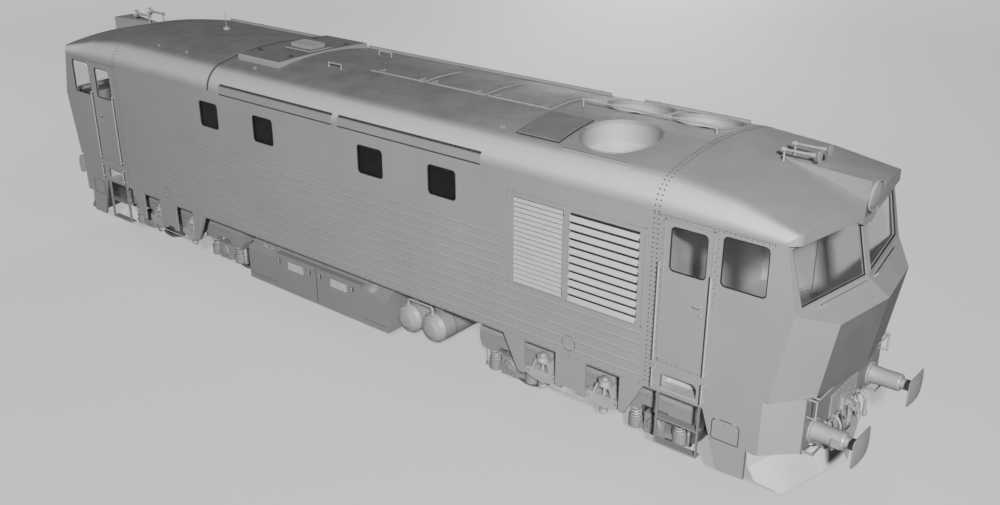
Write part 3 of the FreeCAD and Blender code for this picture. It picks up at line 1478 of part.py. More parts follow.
def make_roof_fittings():
    """Strips, walkway bars, cover plate, gutter, aerial and lifting eyes on the roof."""
    pieces = []
    strip_y = 1102
    strip_z = roof_height(strip_y)
    for name, rear_x, front_x in DRIP_STRIPS:
        pieces.append(block(f"drip_strip_{name}", (rear_x, front_x), (strip_y, strip_y + 24),
                            (strip_z - 40, strip_z + s.strip_height)))
    near_y = -350
    low = roof_height(500) - 40
    for index in range(3):
        rear_x = WALKWAY_BAYS[index] + (0 if index == 0 else 60)
        front_x = WALKWAY_BAYS[index + 1]
        bars = [block(f"walk_bar_{index}", (rear_x, front_x), (near_y - 18, near_y + 18),
                      (low, roof_height(near_y) + 24)),
                roof_ring(f"walk_cross_{index}", 0, 24, as_size(front_x - 40), as_size(front_x),
                          (near_y, 460))]
        lugs = [block(f"walk_lug_{index}_{lug}", (x - 12, x + 12), (near_y - 10, near_y + 90),
                      (low, roof_height(near_y) + 46))
                for lug, x in enumerate(WALKWAY_LUGS[2 * index:2 * index + 2])]
        pieces.append(fused(f"walk_bay_{index}", bars + lugs))
    pieces.append(roof_ring("fan_cover_plate", 0, 22, as_size(3350), as_size(4020), (-1170, -430)))
    pieces.append(block("gutter_strip", (4146, 5139), (-1292, -1264),
                        (s.eave_height + 300, s.eave_height + 412)))
    aerial_y = 155
    aerial_z = roof_height(aerial_y)
    pieces.append(turned("aerial", "z", (-4530, aerial_y, 0), [
        (aerial_z - 40, 0), (aerial_z - 40, 62), (aerial_z + 12, 62), (aerial_z + 40, 52),
        (aerial_z + 62, 24), (aerial_z + 70, 7), (aerial_z + 290, 6), (aerial_z + 290, 0)]))
    eye_y = -1140
    eye_z = roof_height(eye_y)
    for index, x in enumerate(LIFTING_EYES):
        lug = prism(f"eye_lug_{index}", "xz", [
            (x - 34, eye_z - 60), (x + 34, eye_z - 60), (x + 34, eye_z + 30, 37),
            (x - 34, eye_z + 30)], eye_y - s.eye_thickness / 2, eye_y + s.eye_thickness / 2)
        eye = cut(f"lifting_eye_{index}", lug, [rod(f"eye_hole_{index}", "y", (
            x, eye_y - 30, eye_z + 30), 60, s.eye_radius)])
        pieces += both_sides(f"lifting_eye_left_{index}", eye)
    return cut("roof_fittings", together("roof_fitting_bodies", pieces),
               [roof_trim("fitting_trim")])


def make_horns():
    pieces = []
    z = crown_height + 38
    for name, y in (("near", -120), ("far", 180)):
        horn = turned(f"horn_{name}", "x", (0, y, z), [
            (6530, 0), (6530, 30), (6580, 30), (6585, 14), (6850, 20), (6960, 34), (6990, 60),
            (7000, 72), (7006, 72), (7006, 0)])
        post = rod(f"horn_post_{name}", "z", (6560, y, z - 260), 255, 13)
        pieces.append(fused(f"horn_unit_{name}", [horn, post]))
    trim = cab_roof_loft("horn_trim", as_size(0))
    front = cut("horn_pair", together("horn_bodies", pieces), [trim])
    return together("horns", [front, mirrored("horn_pair_rear", front, ALONG)])


def make_headlamps():
    """Round lamp that faces slightly downwards, in a wedge fairing with a level top."""
    half = s.lamp_half_width
    wedge = prism("lamp_wedge", "xz", [
        (s.lamp_tip_x, lamp_top - 200), (lamp_low_x - 150, lamp_low), (lamp_low_x, lamp_low),
        (s.lamp_front_x, lamp_top), (s.lamp_tip_x, lamp_top)], -half, half)
    spread = prism("lamp_spread", "xy", [
        (s.lamp_tip_x, 0), (s.lamp_front_x, -half), (s.lamp_front_x, half)],
        lamp_low - 10, lamp_top + 10)
    tongue = prism("lamp_tongue", "yz", [
        (-half + 110, lamp_low), (half - 110, lamp_low, 120), (half, lamp_low + 118),
        (half, lamp_top), (-half, lamp_top), (-half, lamp_low + 118, 120)],
        s.lamp_tip_x - 10, s.lamp_front_x + 10)
    fairing = shared("lamp_fairing", shared("lamp_wedge_spread", wedge, spread), tongue)
    hull = shaped("lamp_hull_tool", cab_volume(0.0, s.sill_height.value, 50.0))
    trimmed = cut("lamp_trimmed", cut("lamp_on_brow", fairing, [brow_volume("lamp_brow")]), [hull])
    centre_z = lamp_top - s.lamp_ring_radius - 14
    centre_x = s.lamp_front_x - (lamp_top - centre_z) * lamp_slope
    lean = Rotation(Vector(0, 1, 0), s.lamp_lean.value)
    wide = s.lamp_ring_radius
    ring = turned("lamp_ring", "x", (0, 0, 0), [
        (0, 0), (0, wide - 12), (14, wide), (30, wide), (36, wide - 8), (30, s.lens_radius + 4),
        (14, s.lens_radius), (14, 0)])
    place(ring, (centre_x, 0, centre_z), lean)
    lens = turned("lens_front", "x", (0, 0, 0), [
        (14, 0), (14, s.lens_radius), (34, s.lens_radius - 6), (54, s.lens_radius - 40),
        (64, s.lens_radius - 100), (68, 0)])
    place(lens, (centre_x, 0, centre_z), lean)
    front = fused("headlamp_front", [trimmed, ring])
    lamps = together("headlamps", [front, mirrored("headlamp_rear", front, ALONG)])
    lenses = together("headlamp_lenses", [lens, mirrored("lens_rear", lens, ALONG)])
    return [lamps, lenses]


# ---- the locomotive --------------------------------------------------------------------------

def make_all():
    nodes = make_side_walls() + make_grilles()
    nodes += [make_centre_roof(), make_bulkheads(), make_engine()]
    nodes += make_fans()
    nodes += make_cabs() + make_doors() + make_cab_roofs()
    nodes += [make_underframe(), make_headstocks(), make_buffers(), make_draw_gear(),
              make_ploughs()]
    for end in (1, -1):
        nodes += make_bogie(end)
    nodes += [make_equipment_box(), make_reservoirs(), make_ladders(), make_handrails(),
              make_exhaust(), make_roof_rails(), make_roof_fittings(), make_horns()]
    nodes += make_headlamps()
    return nodes


def check_document(nodes):
    """Stops where any object failed or a sub-part has no sound shape."""
    for thing in doc.Objects:
        for state in thing.State:
            if state in ("Invalid", "Error"):
                raise RuntimeError(f"{thing.Label} is {state}")
    for node in nodes:
        if node.Shape.isNull() or not node.Shape.isValid():
            raise RuntimeError(f"{node.Label} has no valid shape")
        if not node.Shape.Solids:
            raise RuntimeError(f"{node.Label} has no solid")


def export(nodes):
    os.makedirs("parts", exist_ok=True)
    for node in nodes:
        node.Shape.exportStep(f"parts/{node.Label}.step")


all_nodes = make_all()
doc.recompute()
check_document(all_nodes)
export(all_nodes)
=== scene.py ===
"""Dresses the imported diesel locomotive: finishes, rivets, seams, seals, springs and pipework."""

import json
import logging
import math
from collections import defaultdict
from dataclasses import dataclass
from enum import Enum
from typing import Callable, Iterable, Optional, Sequence

import bmesh
import bpy
from mathutils import Matrix, Quaternion, Vector
from mathutils.bvhtree import BVHTree


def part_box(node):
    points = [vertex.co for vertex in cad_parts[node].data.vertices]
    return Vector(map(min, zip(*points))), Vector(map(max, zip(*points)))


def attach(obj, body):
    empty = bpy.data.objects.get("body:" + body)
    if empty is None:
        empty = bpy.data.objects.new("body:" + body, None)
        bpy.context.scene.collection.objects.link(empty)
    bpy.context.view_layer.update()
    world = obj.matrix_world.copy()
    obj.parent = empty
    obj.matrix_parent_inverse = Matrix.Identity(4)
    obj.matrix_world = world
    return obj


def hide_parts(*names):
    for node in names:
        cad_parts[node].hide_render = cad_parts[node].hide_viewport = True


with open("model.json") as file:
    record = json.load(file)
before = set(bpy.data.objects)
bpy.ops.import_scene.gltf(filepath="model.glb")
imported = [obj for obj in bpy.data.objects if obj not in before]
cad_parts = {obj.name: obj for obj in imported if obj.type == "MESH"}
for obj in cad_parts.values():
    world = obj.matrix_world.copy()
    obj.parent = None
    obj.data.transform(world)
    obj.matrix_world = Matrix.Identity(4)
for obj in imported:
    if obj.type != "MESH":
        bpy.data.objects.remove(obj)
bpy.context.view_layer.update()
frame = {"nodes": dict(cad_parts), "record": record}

BODY = "locomotive"

Point = Sequence[float]
Pair = tuple[float, float]
Pairs = tuple[Pair, ...]                  # such as (along, radius), for a turned shape
Triple = tuple[float, float, float]
Colour = Triple
Material = bpy.types.Material
Node = bpy.types.Node
Socket = bpy.types.NodeSocket
Sockets = bpy.types.NodeOutputs
Seat = tuple[Vector, Vector]              # a place on a skin and its normal

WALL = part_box("side_wall_right")[0].y     # outer face of the right wall
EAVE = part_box("side_wall_right")[1].z     # where the walls meet the roof
AHEAD, BACK = (1, 0, 0), (-1, 0, 0)
OUTWARD, INWARD = (0, -1, 0), (0, 1, 0)   # out of the right wall and into it
UP, DOWN = (0, 0, 1), (0, 0, -1)
BOTH = (-1, 1)                            # the two sides, or the two ways along
DOORS = tuple((f"{end}_{side}", (sx, sy, 1)) for end, sx in (("front", 1), ("rear", -1))
              for side, sy in (("right", 1), ("left", -1)))

logging.basicConfig(level=logging.INFO, format="%(message)s")
log = logging.getLogger("locomotive")


# ---- shader node groups


class Graph:
    """A node tree with short calls to add nodes and link sockets."""

    def __init__(self, tree: bpy.types.NodeTree) -> None:
        """Keeps the tree."""
        self.tree = tree

    def add(self, kind: str, **values: object) -> Node:
        """Adds a node.

        Args:
            kind: node type without the ShaderNode prefix, or a full type name.
            values: attributes of the node, such as operation or blend_type.

        Returns:
            The new node.
        """
        full = kind if kind.startswith("Node") else "ShaderNode" + kind
        node = self.tree.nodes.new(full)
        for name, value in values.items():
            setattr(node, name, value)
        return node

    def feed(self, source: object, socket: Socket) -> None:
        """Links a socket to a socket, or writes a plain value into it.

        Args:
            source: an output socket, a number or a colour.
            socket: the input that takes it.
        """
        if isinstance(source, Socket):
            self.tree.links.new(source, socket)
        elif hasattr(source, "__len__") and len(source) == 3 and socket.type == "RGBA":
            socket.default_value = (*source, 1.0)
        else:
            socket.default_value = source

    def math(self, operation: str, *terms: object, clamp: bool = False) -> Socket:
        """Adds a Math node and returns its value.

        Args:
            operation: the node's operation.
            terms: one to three sockets or numbers.
            clamp: keeps the value between 0 and 1.

        Returns:
            The output socket.
        """
        node = self.add("Math", operation=operation, use_clamp=clamp)
        for term, socket in zip(terms, node.inputs):
            self.feed(term, socket)
        return node.outputs[0]

    def times(self, first: object, *others: object, clamp: bool = False) -> Socket:
        """Multiplies sockets and numbers.

        Args:
            first: a socket or a number.
            others: the sockets or numbers to multiply it by.
            clamp: keeps every product between 0 and 1.

        Returns:
            The product.
        """
        for other in others:
            first = self.math("MULTIPLY", first, other, clamp=clamp)
        return first

    def dot(self, first: Socket, second: Socket) -> Socket:
        """Adds the dot product of two vectors.

        Args:
            first: a vector socket.
            second: a vector socket.

        Returns:
            The product.
        """
        node = self.add("VectorMath", operation="DOT_PRODUCT")
        self.feed(first, node.inputs[0])
        self.feed(second, node.inputs[1])
        return node.outputs["Value"]

    def split(self, kind: str) -> Sockets:
        """Splits a texture coordinate into its X, Y and Z.

        Args:
            kind: Object for the place, Normal for the way that the surface faces.

        Returns:
            The outputs X, Y and Z.
        """
        node = self.add("SeparateXYZ")
        self.feed(self.add("TexCoord").outputs[kind], node.inputs[0])
        return node.outputs

    def mix(self, amount: object, first: object, second: object, blend: str = "MIX") -> Socket:
        """Mixes two colours.

        Args:
            amount: share of the second one.
            first: colour or socket.
            second: colour or socket.
            blend: the node's way of mixing.

        Returns:
            The mixed colour.
        """
        node = self.add("Mix", data_type="RGBA", blend_type=blend)
        self.feed(amount, node.inputs["Factor"])
        self.feed(first, node.inputs[6])
        self.feed(second, node.inputs[7])
        return node.outputs[2]

    def noise(self, scale: object, detail: float = 3.0, stretch: Optional[Point] = None,
              roughness: float = 0.5) -> Socket:
        """Noise over object coordinates.

        Args:
            scale: cells a metre.
            detail: octaves.
            stretch: scale of each axis before the noise.
            roughness: weight of the fine octaves.

        Returns:
            The noise value, about 0.5 on average.
        """
        place = self.add("TexCoord").outputs["Object"]
        if stretch is not None:
            mapping = self.add("Mapping")
            self.feed(place, mapping.inputs["Vector"])
            mapping.inputs["Scale"].default_value = tuple(stretch)
            place = mapping.outputs["Vector"]
        node = self.add("TexNoise")
        self.feed(place, node.inputs["Vector"])
        self.feed(scale, node.inputs["Scale"])
        node.inputs["Detail"].default_value = detail
        node.inputs["Roughness"].default_value = roughness
        return node.outputs[0]

    def ramp(self, value: object, low: float, high: float) -> Socket:
        """Smoothly maps low..high to 0..1.

        Args:
            value: socket to map.
            low: value that gives 0.
            high: value that gives 1.

        Returns:
            The mapped value.
        """
        node = self.add("MapRange", interpolation_type="SMOOTHSTEP")
        self.feed(value, node.inputs["Value"])
        node.inputs["From Min"].default_value = low
        node.inputs["From Max"].default_value = high
        return node.outputs[0]


class GroupGraph(Graph):
    """The inside of a shader group, with what it is given and what it puts out by name."""

    def __init__(self, tree: bpy.types.NodeTree) -> None:
        """Adds the group's input and output nodes.

        Args:
            tree: the group's tree, with its sockets made.
        """
        super().__init__(tree)
        self.given = self.add("NodeGroupInput").outputs
        self.results = self.add("NodeGroupOutput").inputs

    def tint(self, mask: Socket, tone: object) -> None:
        """Lays a tone over the given colour, and puts out the colour and the mask.

        Args:
            mask: where the tone lies, from 0 to 1.
            tone: a colour or a socket.
        """
        self.feed(self.mix(mask, self.given["Colour"], tone), self.results["Colour"])
        self.feed(mask, self.results["Mask"])


class GroupMaker:
    """Base of the shader groups: makes the sockets once and hands out instances."""

    name = "group"
    inputs: tuple[tuple[str, str, object], ...] = ()
    outputs: tuple[tuple[str, str], ...] = ()

    def build(self, graph: GroupGraph) -> None:
        """Fills the group's tree.

        Args:
            graph: the group's own graph.
        """
        raise NotImplementedError

    def tree(self) -> bpy.types.NodeTree:
        """Returns the group's tree, made on the first call."""
        found = bpy.data.node_groups.get(self.name)
        if found is not None:
            return found
        tree = bpy.data.node_groups.new(self.name, "ShaderNodeTree")
        for label, kind, value in self.inputs:
            socket = tree.interface.new_socket(label, in_out="INPUT", socket_type=kind)
            socket.default_value = value
        for label, kind in self.outputs:
            tree.interface.new_socket(label, in_out="OUTPUT", socket_type=kind)
        self.build(GroupGraph(tree))
        return tree

    def use(self, graph: Graph, **values: object) -> Sockets:
        """Places the group in a material.

        Args:
            graph: the material's graph.
            values: sockets or constants by input name.

        Returns:
            The group's outputs.
        """
        node = graph.add("Group")
        node.node_tree = self.tree()
        for label, value in values.items():
            graph.feed(value, node.inputs[label])
        return node.outputs


COLOUR, VALUE, VECTOR = "NodeSocketColor", "NodeSocketFloat", "NodeSocketVector"
BASE_COLOUR = ("Colour", COLOUR, (0.4, 0.4, 0.4, 1.0))
TINTED = (("Colour", COLOUR), ("Mask", VALUE))


class PaintGrain(GroupMaker):
    """Satin paint: faint patches of tone, fine grain in the gloss and a light orange peel."""

    name = "paint_grain"
    inputs = (BASE_COLOUR, ("Tone", VALUE, 0.08), ("Roughness", VALUE, 0.45),
              ("Peel", VALUE, 0.3))
    outputs = (("Colour", COLOUR), ("Roughness", VALUE), ("Height", VALUE))
    patch_scale, grain_scale, peel_scale = 0.7, 38.0, 160.0
    patch_share, grain_share = 0.8, 0.2

    def build(self, graph: GroupGraph) -> None:
        """Fills the group's tree.

        Args:
            graph: the group's own graph.
        """
        patches = graph.noise(self.patch_scale, 4.0, roughness=0.6)
        grain = graph.noise(self.grain_scale)
        shift = graph.math("SUBTRACT", graph.math("ADD", graph.times(patches, self.patch_share),
                                                  graph.times(grain, self.grain_share)), 0.5)
        change = graph.math("MULTIPLY_ADD", shift, graph.times(graph.given["Tone"], 4.0), 1.0)
        tone = graph.add("CombineColor")
        for socket in list(tone.inputs)[:3]:
            graph.feed(change, socket)
        graph.feed(graph.mix(1.0, graph.given["Colour"], tone.outputs[0], "MULTIPLY"),
                   graph.results["Colour"])
        graph.feed(graph.math("MULTIPLY_ADD", shift, 0.5, graph.given["Roughness"], clamp=True),
                   graph.results["Roughness"])
        graph.feed(graph.times(graph.noise(self.peel_scale, 2.0), graph.given["Peel"]),
                   graph.results["Height"])


class EdgeWear(GroupMaker):
    """Lighter, rubbed paint along the edges, broken up by noise."""

    name = "edge_wear"
    inputs = (BASE_COLOUR, ("Rubbed", COLOUR, (0.6, 0.6, 0.6, 1.0)), ("Amount", VALUE, 0.5),
              ("Width", VALUE, 0.006))
    outputs = (*TINTED, ("Normal", VECTOR))
    turned = (0.995, 0.85)      # how far the rounded normal leans away: none to all worn
    broken = (0.38, 0.66)

    def build(self, graph: GroupGraph) -> None:
        """Fills the group's tree.

        Args:
            graph: the group's own graph.
        """
        bevel = graph.add("Bevel", samples=3)
        graph.feed(graph.given["Width"], bevel.inputs["Radius"])
        facing = graph.dot(bevel.outputs[0], graph.add("NewGeometry").outputs["Normal"])
        patches = graph.ramp(graph.noise(9.0, 5.0, roughness=0.65), *self.broken)
        mask = graph.times(graph.ramp(facing, *self.turned), patches, graph.given["Amount"],
                           clamp=True)
        graph.tint(mask, graph.given["Rubbed"])
        graph.feed(bevel.outputs[0], graph.results["Normal"])


class RoadDust(GroupMaker):
    """Dry dust that thickens towards the track and lies on ledges."""

    name = "road_dust"
    inputs = (BASE_COLOUR, ("Dust", COLOUR, (0.3, 0.28, 0.25, 1.0)), ("Amount", VALUE, 0.4),
              ("Reach", VALUE, 1.4), ("Ledge", VALUE, 0.35), ("Patchy", VALUE, 1.0))
    outputs = TINTED
    level = (0.78, 1.0)         # upward part of the normal: bare slope to covered ledge
    clouds = (0.32, 0.7)

    def build(self, graph: GroupGraph) -> None:
        """Fills the group's tree.

        Args:
            graph: the group's own graph.
        """
        given = graph.given
        height = graph.math("DIVIDE", graph.split("Object")["Z"], given["Reach"])
        low = graph.math("SUBTRACT", 1.0, height, clamp=True)
        ledge = graph.times(graph.ramp(graph.split("Normal")["Z"], *self.level), given["Ledge"])
        cloud = graph.ramp(graph.noise(2.6, 5.0, roughness=0.6), *self.clouds)
        cover = graph.math("MULTIPLY_ADD", graph.math("SUBTRACT", cloud, 1.0), given["Patchy"], 1.0)
        thick = graph.times(graph.math("ADD", low, ledge), cover)
        graph.tint(graph.times(thick, given["Amount"], clamp=True), given["Dust"])


class TopLightTint(GroupMaker):
    """Painted light: paint made paler where it leans towards the sky, as if lit from above."""

    name = "top_light_tint"
    inputs = (BASE_COLOUR, ("Faded", COLOUR, (0.5, 0.5, 0.5, 1.0)))
    outputs = TINTED
    lean = (0.02, 0.42)         # upward part of the normal: unlit wall to fully lit slope

    def build(self, graph: GroupGraph) -> None:
        """Fills the group's tree.

        Args:
            graph: the group's own graph.
        """
        graph.tint(graph.ramp(graph.split("Normal")["Z"], *self.lean), graph.given["Faded"])


class SootAmount(GroupMaker):
    """Amount of soot, which thins out from the exhaust towards the front."""

    name = "soot_amount"
    inputs = (("Amount", VALUE, 0.8), ("Thinning", VALUE, 0.4))
    outputs = (("Amount", VALUE),)
    along = (0.0, 7.0)          # metres ahead of the middle: all the soot to the least

    def build(self, graph: GroupGraph) -> None:
        """Fills the group's tree.

        Args:
            graph: the group's own graph.
        """
        lost = graph.times(graph.ramp(graph.split("Object")["X"], *self.along),
                           graph.given["Thinning"])
        graph.feed(graph.math("SUBTRACT", graph.given["Amount"], lost), graph.results["Amount"])


class EndFaceShade(GroupMaker):
    """Painted shade: a darker tone on the upright faces of the ends, below the screens, faintly
    broken up.
    """

    name = "end_face_shade"
    inputs = (BASE_COLOUR, ("Shade", COLOUR, (0.14, 0.14, 0.144, 1.0)), ("Amount", VALUE, 0.7))
    outputs = TINTED
    ahead = (0.85, 0.92)        # lengthwise part of the normal: side face to shaded end face
    sill = 2.72                 # height where the painted shade stops, under the screens
    clouds = (0.3, 0.7)

    def build(self, graph: GroupGraph) -> None:
        """Fills the group's tree.

        Args:
            graph: the group's own graph.
        """
        ahead = graph.ramp(graph.math("ABSOLUTE", graph.split("Normal")["X"]), *self.ahead)
        below = graph.math("LESS_THAN", graph.split("Object")["Z"], self.sill)
        cloud = graph.ramp(graph.noise(2.2, 4.0), *self.clouds)
        cover = graph.math("MULTIPLY_ADD", cloud, 0.2, 0.8)
        graph.tint(graph.times(ahead, below, cover, graph.given["Amount"], clamp=True),
                   graph.given["Shade"])


class RainStreaks(GroupMaker):
    """Narrow upright streaks that rain leaves on the walls."""

    name = "rain_streaks"
    inputs = (BASE_COLOUR, ("Amount", VALUE, 0.2))
    outputs = TINTED
    stretch = (1.0, 1.0, 0.045)
    streak = (0.5, 0.78)
    patch = (0.35, 0.7)
    stain = (0.09, 0.085, 0.08)

    def build(self, graph: GroupGraph) -> None:
        """Fills the group's tree.

        Args:
            graph: the group's own graph.
        """
        lines = graph.ramp(graph.noise(14.0, 2.0, self.stretch), *self.streak)
        patches = graph.ramp(graph.noise(1.1), *self.patch)
        mask = graph.times(lines, patches, graph.given["Amount"], clamp=True)
        graph.tint(mask, graph.mix(0.55, graph.given["Colour"], self.stain))


class InnerFace(GroupMaker):
    """Tells the faces that look into a cab or the engine room from the outer ones and tints them:
    painted light in the cabs, painted shade in the engine room and under the cab roofs.
    """

    name = "inner_face"
    inputs = (BASE_COLOUR, ("Inside", COLOUR, (0.02, 0.02, 0.02, 1.0)), ("Middle", VALUE, 6.3),
              ("Height", VALUE, 2.9), ("Floor", VALUE, 1.65), ("Sideways", VALUE, 1.0))
    outputs = TINTED

    def build(self, graph: GroupGraph) -> None:
        """Fills the group's tree.

        Args:
            graph: the group's own graph.
        """
        given = graph.given
        place = graph.split("Object")
        along = graph.math("SUBTRACT", graph.math("ABSOLUTE", place["X"]), given["Middle"])
        signed = graph.times(along, graph.math("SIGN", place["X"]))
        arm = graph.add("CombineXYZ")
        graph.feed(graph.times(signed, given["Sideways"]), arm.inputs[0])
        graph.feed(graph.times(place["Y"], given["Sideways"]), arm.inputs[1])
        graph.feed(graph.math("SUBTRACT", place["Z"], given["Height"]), arm.inputs[2])
        facing = graph.dot(arm.outputs[0], graph.add("TexCoord").outputs["Normal"])
        inward = graph.math("LESS_THAN", facing, -0.02)
        above = graph.math("GREATER_THAN", place["Z"], given["Floor"])
        graph.tint(graph.times(inward, above), given["Inside"])


class CastSkin(GroupMaker):
    """The coarse skin of castings and rolled steel."""

    name = "cast_skin"
    inputs = (("Scale", VALUE, 40.0), ("Depth", VALUE, 1.0))
    outputs = (("Height", VALUE), ("Pits", VALUE))
    pits = (0.6, 0.75)

    def build(self, graph: GroupGraph) -> None:
        """Fills the group's tree.

        Args:
            graph: the group's own graph.
        """
        rough = graph.noise(graph.given["Scale"], 6.0, roughness=0.7)
        graph.feed(graph.times(rough, graph.given["Depth"]), graph.results["Height"])
        graph.feed(graph.ramp(rough, *self.pits), graph.results["Pits"])


# ---- finishes


def blank(name: str) -> tuple[Material, Graph, Node]:
    """Makes a material with nothing in it yet.

    Args:
        name: the material's name.

    Returns:
        The material, its graph and its shader node.
    """
    material = bpy.data.materials.new(name)
    material.use_nodes = True
    return material, Graph(material.node_tree), material.node_tree.nodes["Principled BSDF"]


@dataclass(frozen=True)
class Coating:
    """A finish whose material is made once."""

    name: str

    def fill(self, graph: Graph, shader: Node) -> None:
        """Fills the material's tree.

        Args:
            graph: the material's graph.
            shader: its shader node.
        """
        raise NotImplementedError

    def material(self) -> Material:
        """Returns the material, made on the first call."""
        found = bpy.data.materials.get(self.name)
        if found is None:
            found, graph, shader = blank(self.name)
            self.fill(graph, shader)
        return found


@dataclass(frozen=True)
class Paint(Coating):
    """A painted or bare metal finish."""

    colour: Colour
    roughness: float = 0.46
    metallic: float = 0.0
    tone: float = 0.05
    peel: float = 0.25
    wear: float = 0.35
    wear_width: float = 0.006
    rubbed: Colour = (0.55, 0.55, 0.55)
    dust: float = 0.25
    dust_reach: float = 1.5
    dust_colour: Colour = (0.30, 0.28, 0.25)
    dull: float = 0.3
    ledge: float = 0.35
    patchy: float = 1.0
    thinning: float = 0.0
    streaks: float = 0.0
    cast: float = 0.0
    cast_scale: float = 42.0
    # The inside colour tints inner faces: lighter on the cab walls and floors as painted light,
    # darker under the cab roofs and in the engine room as painted shade.
    inside: Optional[Colour] = None
    inside_middle: float = 6.3
    inside_sideways: float = 1.0
    top_lit: Optional[Colour] = None
    end_shade: float = 0.0
    bump: float = 0.35
    paint_depth: float = 0.0008
    cast_depth: float = 0.003

    def fill(self, graph: Graph, shader: Node) -> None:
        """Fills the material's tree.

        Args:
            graph: the material's graph.
            shader: its shader node.
        """
        grain = PaintGrain().use(graph, Colour=self.colour, Tone=self.tone,
                                 Roughness=self.roughness, Peel=self.peel)
        colour, rough, height = grain["Colour"], grain["Roughness"], grain["Height"]
        # Painted light: paler where the surface leans up.
        if self.top_lit is not None:
            colour = TopLightTint().use(graph, Colour=colour, Faded=self.top_lit)["Colour"]
        if self.streaks:
            colour = RainStreaks().use(graph, Colour=colour, Amount=self.streaks)["Colour"]
        if self.cast:
            skin = CastSkin().use(graph, Scale=self.cast_scale, Depth=self.cast)
            height = graph.math("ADD", height, skin["Height"])
            rough = graph.math("MULTIPLY_ADD", skin["Pits"], 0.12, rough, clamp=True)
        worn = EdgeWear().use(graph, Colour=colour, Rubbed=self.rubbed, Amount=self.wear,
                              Width=self.wear_width)
        amount: object = self.dust
        if self.thinning:
            amount = SootAmount().use(graph, Amount=self.dust, Thinning=self.thinning)["Amount"]
        dusty = RoadDust().use(graph, Colour=worn["Colour"], Amount=amount,
                               Dust=self.dust_colour, Reach=self.dust_reach,
                               Ledge=self.ledge, Patchy=self.patchy)
        colour = dusty["Colour"]
        rough = graph.math("MULTIPLY_ADD", dusty["Mask"], self.dull, rough, clamp=True)
        # Painted shade: darker on the upright end faces.
        if self.end_shade:
            colour = EndFaceShade().use(graph, Colour=colour, Amount=self.end_shade)["Colour"]
        # Painted light in the cabs, painted shade in the engine room and under the cab roofs, on
        # the inner faces.
        if self.inside is not None:
            inner = InnerFace().use(graph, Colour=colour, Inside=self.inside,
                                    Middle=self.inside_middle, Sideways=self.inside_sideways)
            colour = inner["Colour"]
            rough = graph.math("MULTIPLY_ADD", inner["Mask"], self.dull, rough, clamp=True)
        bump = graph.add("Bump")
        bump.inputs["Strength"].default_value = self.bump
        bump.inputs["Distance"].default_value = self.cast_depth if self.cast else self.paint_depth
        graph.feed(height, bump.inputs["Height"])
        graph.feed(worn["Normal"], bump.inputs["Normal"])
        graph.feed(colour, shader.inputs["Base Color"])
        graph.feed(rough, shader.inputs["Roughness"])
        graph.feed(bump.outputs[0], shader.inputs["Normal"])
        shader.inputs["Metallic"].default_value = self.metallic


@dataclass(frozen=True)
class Pane(Coating):
    """Window or lens glass with a light film of dust."""

    tint: Colour
    clearness: float = 1.0
    cover: float = 1.0
    film: float = 0.92
    index: float = 1.45

    def fill(self, graph: Graph, shader: Node) -> None:
        """Fills the material's tree.

        Args:
            graph: the material's graph.
            shader: its shader node.
        """
        film = graph.noise(3.0, 4.0)
        dusty = tuple(self.film * part for part in self.tint)
        graph.feed(graph.mix(graph.ramp(film, 0.3, 0.8), self.tint, dusty),
                   shader.inputs["Base Color"])
        graph.feed(graph.math("MULTIPLY_ADD", graph.ramp(film, 0.45, 0.8), 0.06, 0.02),
                   shader.inputs["Roughness"])
        shader.inputs["Metallic"].default_value = 0.0
        shader.inputs["Transmission Weight"].default_value = self.clearness
        shader.inputs["IOR"].default_value = self.index
        shader.inputs["Alpha"].default_value = self.cover


GREY = (0.36, 0.365, 0.37)
ROOF_GREY = (0.36, 0.363, 0.368)
# The cab grey is lighter than the body grey: painted light on the cab floors, bulkheads and the
# inner faces of the cab shells.
CABIN_LIT_GREY = (0.5, 0.503, 0.508)
# The room tone is near-black: painted shade on the engine room's inner faces.
ROOM_SHADE = (0.012, 0.012, 0.013)
SOOT = dict(dust_colour=(0.09, 0.09, 0.094), patchy=0.22)
# The sooty roof paints are paler where they lean towards the sky: painted light.
SOOTY = dict(SOOT, roughness=0.5, tone=0.07, dust=0.86, thinning=0.46, ledge=0.85,
             top_lit=(0.475, 0.478, 0.482), inside_sideways=0.0)


